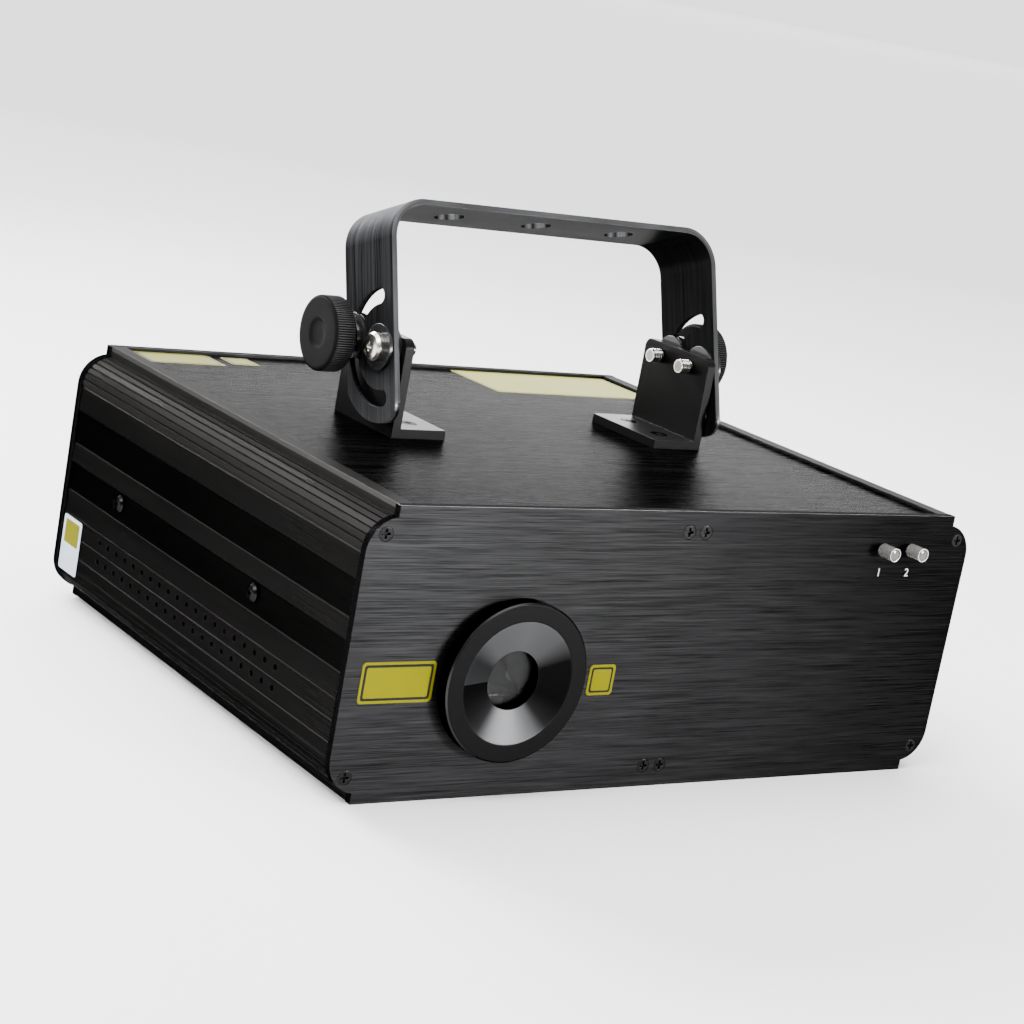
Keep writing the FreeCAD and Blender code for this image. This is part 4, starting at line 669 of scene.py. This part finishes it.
# aperture ring: flat rim, bright outer chamfer, shallow cone down to the window
ring = {"radius": 32.0 * mm, "proud": 6.3 * mm, "edge": 0.7 * mm, "rim": 24.7 * mm, "window": 11.6 * mm,
        "depth": 3.5 * mm, "spigot": 16.9 * mm, "tail": 5.5 * mm, "seat": 13.9 * mm, "set": 0.5 * mm}
ringSection = [(ring["window"], -ring["set"]), (ring["window"], ring["proud"] - ring["depth"]),
               (ring["rim"], ring["proud"]), (ring["radius"] - ring["edge"], ring["proud"]),
               (ring["radius"], ring["proud"] - ring["edge"]), (ring["radius"], 0), (ring["spigot"], 0),
               (ring["spigot"], -ring["tail"]), (ring["seat"], -ring["tail"]), (ring["seat"], -ring["set"])]
ringFoot = (apertureCentre[0], frontY, apertureCentre[2])
made = hoop("apertureRing", ringSection, ringFoot, (0, -1, 0), 256, "housing", "ring_finish", 14)
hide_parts("aperture_ring")
print("aperture ring turned")


# screw thread: a ridge of triangular section wound along the free end of a rod
thread = {"root": 2.9 * mm, "crest": 3.22 * mm, "pitch": 1.0 * mm, "length": 5.4 * mm,
          "start": 1.4 * mm, "steps": 40, "face": 77.2 * mm, "flank": 0.46, "fade": 2.0, "thinnest": 0.02}


def wound(name, origin, axis, body, slot):
    turns = thread["length"] / thread["pitch"]
    angle = np.linspace(0, 2 * np.pi * turns, int(turns * thread["steps"]))[:, None]
    flank = thread["flank"]
    section = np.array([(thread["root"], -flank), (thread["crest"], 0), (thread["root"], flank)])
    fade = np.clip(np.minimum(angle, angle[-1] - angle) / thread["fade"], thread["thinnest"], 1)
    radius = thread["root"] + (section[None, :, 0] - thread["root"]) * fade
    height = angle / (2 * np.pi) * thread["pitch"] + section[None, :, 1] * thread["pitch"]
    points = wrapped(origin, axis, radius, height, angle)
    return piece(name, points, gridFaces(len(angle), 3) + endFaces(len(angle), 3), body, slot)


for end, side in (("left", -1), ("right", 1)):
    inner = side * (thread["face"] - thread["start"])
    wound(f"studThread_{end}", (inner, *studAxis), (-side, 0, 0), f"knob_{end}", "bright_stud")
    wound(f"pivotThread_{end}", (inner, *pivotAxis), (-side, 0, 0), "housing", "bright_screw")
print("threads wound")


# a rounded rectangle about the origin: its points in order, and the outward direction at each
def roundedLoop(width, height, radius, steps=7):
    swing = np.linspace(0, np.pi / 2, steps)[None, :] + np.arange(4)[:, None] * np.pi / 2
    outward = np.stack([np.cos(swing), np.sin(swing)], -1)
    corner = np.array(((1, 1), (-1, 1), (-1, -1), (1, -1))) * (width / 2 - radius, height / 2 - radius)
    return (corner[:, None] + radius * outward).reshape(-1, 2), outward.reshape(-1, 2)


# flat points of a plane put in place, at a level above it
def laid(centre, plane, flat, level):
    right, up = np.array(plane["right"], float), np.array(plane["up"], float)
    return np.array(centre) + flat[..., :1] * right + flat[..., 1:] * up + level * np.cross(right, up)


# blank labels: thin plates with rounded corners; a border is a slightly smaller plate on top
def plateOn(name, centre, plane, width, height, radius, thick, material, slot):
    flat = roundedLoop(width, height, radius)[0]
    points = np.stack([laid(centre, plane, flat, level) for level in (0, thick)])
    return piece(name, points, gridFaces(2, len(flat)) + endFaces(2, len(flat)), "housing", slot, material)


# trim: a closed section of (outward, proud) carried round a rounded rectangle
def trimOn(name, centre, plane, width, height, radius, section, slot):
    loop, outward = roundedLoop(width, height, radius)
    aside, proud = np.asarray(section, float).T[:, :, None, None]
    points = laid(centre, plane, loop[None] + aside * outward[None], proud)
    return piece(name, points, gridFaces(len(section), len(loop), True), "housing", slot, crease=trimCrease)


labelYellow = finishes["label_film"]
labelPale = sticker("labelPale", (0.2, 0.193, 0.01))
labelInk = sticker("labelInk", (0.012, 0.012, 0.012))
labelWhite = sticker("labelWhite", (0.45, 0.52, 0.56))
frontPlane = {"right": (1, 0, 0), "up": (0, 0, 1)}
deckPlane = {"right": (1, 0, 0), "up": (0, 1, 0)}
sidePlane = {"right": (0, -1, 0), "up": (0, 0, 1)}
rearPlane = {"right": (-1, 0, 0), "up": (0, 0, 1)}
# each label's name, middle, plane, width, height, paper, and the width that its dark line takes up
labels = [
    ("frontLabel", (-128.5 * mm, frontY, 47.55 * mm), frontPlane, 32.2, 16.1, labelYellow, 2.0),
    ("frontTag", (-34.1 * mm, frontY, 46.0 * mm), frontPlane, 12.6, 12.6, labelYellow, 1.6),
    ("deckLabelLeft", (-112.3 * mm, 109.9 * mm, deckZ), deckPlane, 37.0, 20.6, labelYellow, 2.0),
    ("deckTag", (-81.5 * mm, 110.6 * mm, deckZ), deckPlane, 14.0, 14.0, labelYellow, 1.6),
    ("deckLabelRight", (84.0 * mm, 98.5 * mm, deckZ), deckPlane, 92.4, 43.4, labelPale, 1.2),
]
layer = {"base": 0.08 * mm, "film": 0.03 * mm, "border": 1.1, "corners": (1.6 * mm, 1.1 * mm, 0.8 * mm)}
for name, centre, plane, width, height, paper, line in labels:
    lift = np.cross(plane["right"], plane["up"])
    inset = 2 * layer["border"]
    rows = (("base", 0, 0, layer["base"], paper), ("line", layer["base"], inset, layer["film"], labelInk),
            ("field", layer["base"] + layer["film"], inset + line, layer["film"], paper))
    for (row, level, less, thick, material), corner in zip(rows, layer["corners"]):
        plateOn(f"{name}_{row}", centre + level * lift, plane, (width - less) * mm, (height - less) * mm,
                corner, thick, material, "label_film")
sideLabel = {"skin": -150.95 * mm, "along": 111.6 * mm, "height": 26.8 * mm, "size": (18.4 * mm, 24.8 * mm),
             "corner": 1.4 * mm, "thick": 0.1 * mm, "field": 32.2 * mm, "fieldSize": (14.0 * mm, 10.5 * mm),
             "fieldCorner": 0.8 * mm}
plateOn("sideLabel_base", (sideLabel["skin"], sideLabel["along"], sideLabel["height"]), sidePlane,
        *sideLabel["size"], sideLabel["corner"], sideLabel["thick"], labelWhite, "lamp_lens")
plateOn("sideLabel_field", (sideLabel["skin"] - sideLabel["thick"], sideLabel["along"], sideLabel["field"]),
        sidePlane, *sideLabel["fieldSize"], sideLabel["fieldCorner"], layer["film"], labelYellow,
        "label_film")
print("labels laid")


# a number cut from thin film; turned half round for the rear
def numeral(name, words, size, place, material, turn=0.0):
    curve = bpy.data.curves.new(name, "FONT")
    curve.body = words
    curve.size = size
    curve.extrude = layer["film"]
    curve.align_x = "CENTER"
    drawn = placed(name + "Curve", curve)
    bpy.context.view_layer.update()
    mesh = bpy.data.meshes.new_from_object(drawn.evaluated_get(bpy.context.evaluated_depsgraph_get()))
    bpy.data.objects.remove(drawn)
    mesh.transform(Matrix.Translation(Vector(place)) @ Matrix.Rotation(turn, 4, "Z")
                   @ Matrix.Rotation(math.pi / 2, 4, "X"))
    mesh.name = name
    made = placed(name, mesh)
    mesh.materials.clear()
    mesh.materials.append(material)
    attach(made, "housing")
    return made


numeralWhite = sticker("numeralWhite", (0.80, 0.80, 0.80))
numerals = {"lampSize": 5.0 * mm, "lampHeight": 88.3 * mm, "keySize": 4.6 * mm,
            "keyMarks": {"0": (-112.0 * mm, 99.6 * mm), "1": (-126.4 * mm, 84.4 * mm)}}
for index, spot in enumerate(lampPlaces, 1):
    numeral(f"lampNumeral_{index}", str(index), numerals["lampSize"],
            (spot, frontY - layer["film"], numerals["lampHeight"]), numeralWhite)
for word, (spot, up) in numerals["keyMarks"].items():
    numeral(f"keyNumeral_{word}", word, numerals["keySize"], (spot, rearY + layer["film"], up),
            numeralWhite, math.pi)
print("numerals set")


# display: a frame round the window, and bars of seven to a digit, each a flat hexagon pointed at both ends
display = {"centre": (16.0 * mm, rearY, 88.0 * mm), "width": 40.0 * mm, "height": 15.0 * mm, "shown": "0001",
           "pitch": 9.2 * mm, "digit": (5.0 * mm, 9.2 * mm), "half": 0.5 * mm, "gap": 0.25 * mm, "slant": 0.1,
           "proud": 0.04 * mm, "corner": 0.8 * mm}
frameSection = [(0.0, 0.0), (0.0, 0.7 * mm), (0.35 * mm, 1.1 * mm), (1.7 * mm, 1.1 * mm),
                (2.1 * mm, 0.7 * mm), (2.1 * mm, 0.0)]
trimOn("displayFrame", display["centre"], rearPlane, display["width"], display["height"], display["corner"],
       frameSection, "socket_plastic")
# each bar's place sideways and upwards in half digits, and whether it is upright
barPlaces = {"a": (0, 1, 0), "b": (1, 0.5, 1), "c": (1, -0.5, 1), "d": (0, -1, 0), "e": (-1, -0.5, 1),
             "f": (-1, 0.5, 1), "g": (0, 0, 0)}
barsOf = {"0": "abcdef", "1": "bc"}
# the corners of one bar, as signs along its length, of its points, and across it
barSigns = {"along": (-1, -1, 1, 1, 1, -1), "point": (0, 1, -1, 0, -1, 1), "aside": (0, 1, 1, 0, -1, -1)}


def bars(name, chosen, material):
    wide, tall = display["digit"]
    ends, point, sides = (np.array(barSigns[key])[None, :, None] for key in ("along", "point", "aside"))
    spots = np.array([barPlaces[letter][:2] for _, letter in chosen]) * (wide / 2, tall / 2)
    spots[:, 0] += (np.array([index for index, _ in chosen]) - 1.5) * display["pitch"]
    upright = np.array([barPlaces[letter][2] for _, letter in chosen])[:, None, None]
    along = ends * (np.where(upright, tall / 4, wide / 2) - display["gap"]) + point * display["half"]
    aside = np.broadcast_to(sides * display["half"], along.shape)
    corners = [np.where(upright, aside, along), np.where(upright, along, aside)]
    flat = spots[:, None] + np.concatenate(corners, -1)
    flat[..., 0] += flat[..., 1] * display["slant"]
    points = np.stack([laid(display["centre"], rearPlane, flat, level) for level in (0, display["proud"])], 1)
    one = gridFaces(2, 6) + endFaces(2, 6)
    faces = [[corner + 12 * index for corner in face] for index in range(len(chosen)) for face in one]
    return piece(name, points, faces, "housing", "display_tint", material)


# lit film: a dark colour that glows
def glowing(name, colour, strength):
    def recipe(wire, place):
        grain = noise(wire, place, 700.0, 2.0)
        return {"Base Color": mottled(wire, grain, colour, 0.05, 0.07),
                "Roughness": 0.25 + grain * 0.1, "Emission Color": (*colour, 1),
                "Emission Strength": strength}
    return finish(name, recipe)


lit = [(index, letter) for index, word in enumerate(display["shown"]) for letter in barsOf[word]]
dark = [(index, letter) for index in range(len(display["shown"])) for letter in barPlaces
        if (index, letter) not in lit]
bars("displayBars_lit", lit, glowing("digitLit", (1.0, 0.03, 0.02), 1.3))
bars("displayBars_dark", dark, glowing("digitDark", (0.3, 0.02, 0.02), 0.02))
print("display lit")

# lamp lenses: low domes that fill the mouths of the bezels
lampDome = {"mouth": -133.0 * mm, "radius": 2.5 * mm, "rise": 0.55 * mm, "deep": 0.9 * mm,
            "height": 99.8 * mm, "sunk": 0.02 * mm, "close": 0.98}
domeTurn = np.linspace(0, np.pi / 2, 12)[:, None]
domeRows = np.concatenate([lampDome["radius"] * np.cos(domeTurn * lampDome["close"]),
                           lampDome["rise"] * (np.sin(domeTurn) - 1) - lampDome["sunk"]], 1)
domeProfile = np.concatenate([[(lampDome["radius"], -lampDome["deep"])], domeRows])
domeGlass = moulded("domeGlass", (0.09, 0.084, 0.076), 0.1, 300.0, 0.02, 0.4)
for index, spot in enumerate(lampPlaces, 1):
    turned(f"lampDome_{index}", domeProfile, (spot, lampDome["mouth"], lampDome["height"]), (0, -1, 0), 48,
           "housing", "lamp_lens", material=domeGlass)
print("lamps domed")

# rear trim: rims of the data sockets, a release tab, lips of the mains inlet and collars of the buttons
sockets = {"face": 128.0 * mm, "height": 42.0 * mm, "input": -58.0 * mm, "output": -30.0 * mm}
rimSection = [(9.35 * mm, 0), (9.35 * mm, 0.9 * mm), (9.7 * mm, 1.3 * mm), (10.6 * mm, 1.3 * mm),
              (11.0 * mm, 0.9 * mm), (11.0 * mm, 0)]
for end in ("input", "output"):
    hoop(f"dataRim_{end}", rimSection, (sockets[end], sockets["face"], sockets["height"]), (0, 1, 0), 96,
         "housing", "shell_metal")
tab = {"height": 54.7 * mm, "size": (7.0 * mm, 3.4 * mm), "corner": 0.8 * mm, "thick": 1.2 * mm}
plateOn("releaseTab", (sockets["output"], sockets["face"], tab["height"]), rearPlane, *tab["size"],
        tab["corner"], tab["thick"], None, "guard_steel")
# each mouth of the inlet: its place upwards, width and height
inlet = {"across": -112.0 * mm, "corner": 0.9 * mm, "mains": (48.0 * mm, 24.6 * mm, 16.6 * mm),
         "drawer": (32.0 * mm, 23.4 * mm, 8.4 * mm)}
lipSection = [(0, 0), (0, 0.5 * mm), (0.25 * mm, 0.8 * mm), (0.9 * mm, 0.8 * mm), (1.2 * mm, 0.5 * mm),
              (1.2 * mm, 0)]
for name in ("mains", "drawer"):
    up, width, height = inlet[name]
    trimOn(f"inletLip_{name}", (inlet["across"], sockets["face"], up), rearPlane, width, height,
           inlet["corner"], lipSection, "socket_plastic")
collars = {"places": (-5.0 * mm, 9.0 * mm, 23.0 * mm, 37.0 * mm), "height": 68.0 * mm}
collarSection = [(3.35 * mm, 0), (3.35 * mm, 0.35 * mm), (3.6 * mm, 0.6 * mm), (4.2 * mm, 0.6 * mm),
                 (4.5 * mm, 0.35 * mm), (4.5 * mm, 0)]
for index, spot in enumerate(collars["places"], 1):
    hoop(f"buttonCollar_{index}", collarSection, (spot, rearY, collars["height"]), (0, 1, 0), 48, "housing",
         "guard_steel")
print("rear trimmed")

# floor, soft light and camera
studio = {"floor": 60.0, "floorShade": (0.9, 0.9, 0.9), "sky": 0.4, "sun": 6.0, "sunWidth": 70}
# each light's name, place, target, size, power and spread
softBoxes = [
    ("keyLight", (-1.5, -0.5, 1.7), (0, 0, 0.06), (1.0, 0.8), 16, 110),
    ("backLight", (1.5, 1.9, 0.75), (0, 0, 0.1), (2.4, 0.9), 12, 70),
    ("ribLight", (-0.5, 1.7, 1.15), (-0.1, 0, 0.1), (1.5, 0.6), 26, 70),
    ("sideLight", (-1.15, 1.8, 0.45), (-0.1, 0, 0.15), (1.2, 0.8), 1.3, 70),
    ("frontLight", (0.84, -1.42, 0.16), (-0.22, -0.12, 0.06), (0.6, 0.3), 2.3, 24),
]


# a flat sheet of four corners
def sheet(name, corners, recipe, material):
    mesh = bpy.data.meshes.new(name)
    mesh.from_pydata(corners, [], [(0, 1, 2, 3)])
    mesh.materials.append(finish(material, recipe))
    return placed(name, mesh)


reach = studio["floor"]
floor = sheet("floor", [(-reach, -reach, 0), (reach, -reach, 0), (reach, reach, 0), (-reach, reach, 0)],
              lambda wire, place: {"Base Color": (*studio["floorShade"], 1),
                                   "Roughness": 0.85 + noise(wire, place, 30.0) * 0.05}, "floorPaper")
floor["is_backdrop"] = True
world = bpy.data.worlds.new("studio")
world.use_nodes = True
world.node_tree.nodes["Background"].inputs["Color"].default_value = (1, 1, 1, 1)
world.node_tree.nodes["Background"].inputs["Strength"].default_value = studio["sky"]
bpy.context.scene.world = world
skyLight = bpy.data.lights.new("skyLight", "SUN")
skyLight.energy = studio["sun"]
skyLight.angle = math.radians(studio["sunWidth"])
placed("skyLight", skyLight)
for name, place, target, size, power, spread in softBoxes:
    light = bpy.data.lights.new(name, "AREA")
    light.shape = "RECTANGLE"
    light.spread = math.radians(spread)
    light.size, light.size_y = size
    light.energy = power
    aim = Vector(target) - Vector(place)
    turn = aim.to_track_quat("-Z", "Y").to_matrix().to_4x4()
    placed(name, light).matrix_world = Matrix.Translation(Vector(place)) @ turn

# a pale wall far behind, as bright as the floor
wall = {"ahead": (0.5787, 0.7843, 0), "away": 50.0, "half": 70.0, "height": 30.0, "glow": 2.13}
wallAhead = np.array(wall["ahead"]) / np.linalg.norm(wall["ahead"])
wallSide = np.array((wallAhead[1], -wallAhead[0], 0))
wallCorners = [tuple(wallAhead * wall["away"] + wallSide * wall["half"] * sideways + np.array((0, 0, up)))
               for sideways, up in ((-1, 0), (1, 0), (1, wall["height"]), (-1, wall["height"]))]
backdrop = sheet("wall", wallCorners, lambda wire, place: {
    "Base Color": (0, 0, 0, 1), "Roughness": 1.0, "Specular IOR Level": 0.0, "Emission Color": (1, 1, 1, 1),
    "Emission Strength": wall["glow"]}, "wallPaper")
backdrop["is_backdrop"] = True

# the camera was solved from the photograph's straight edges
view = {"place": (-0.60138, -0.81700, 0.31044), "lens": 83.88,
        "right": (0.8153700, -0.5513979, 0.1764426), "down": (0.0151070, -0.2844003, -0.9585866),
        "ahead": (0.5787430, 0.7842683, -0.2235615)}
cameraData = bpy.data.cameras.new("camera")
cameraData.sensor_fit = "HORIZONTAL"
cameraData.sensor_width = 36.0
cameraData.lens = view["lens"]
camera = placed("camera", cameraData)
turn = Matrix((Vector(view["right"]), -Vector(view["down"]), -Vector(view["ahead"]))).transposed()
camera.matrix_world = Matrix.Translation(Vector(view["place"])) @ turn.to_4x4()
bpy.context.scene.camera = camera
print("studio set")

low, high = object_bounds()
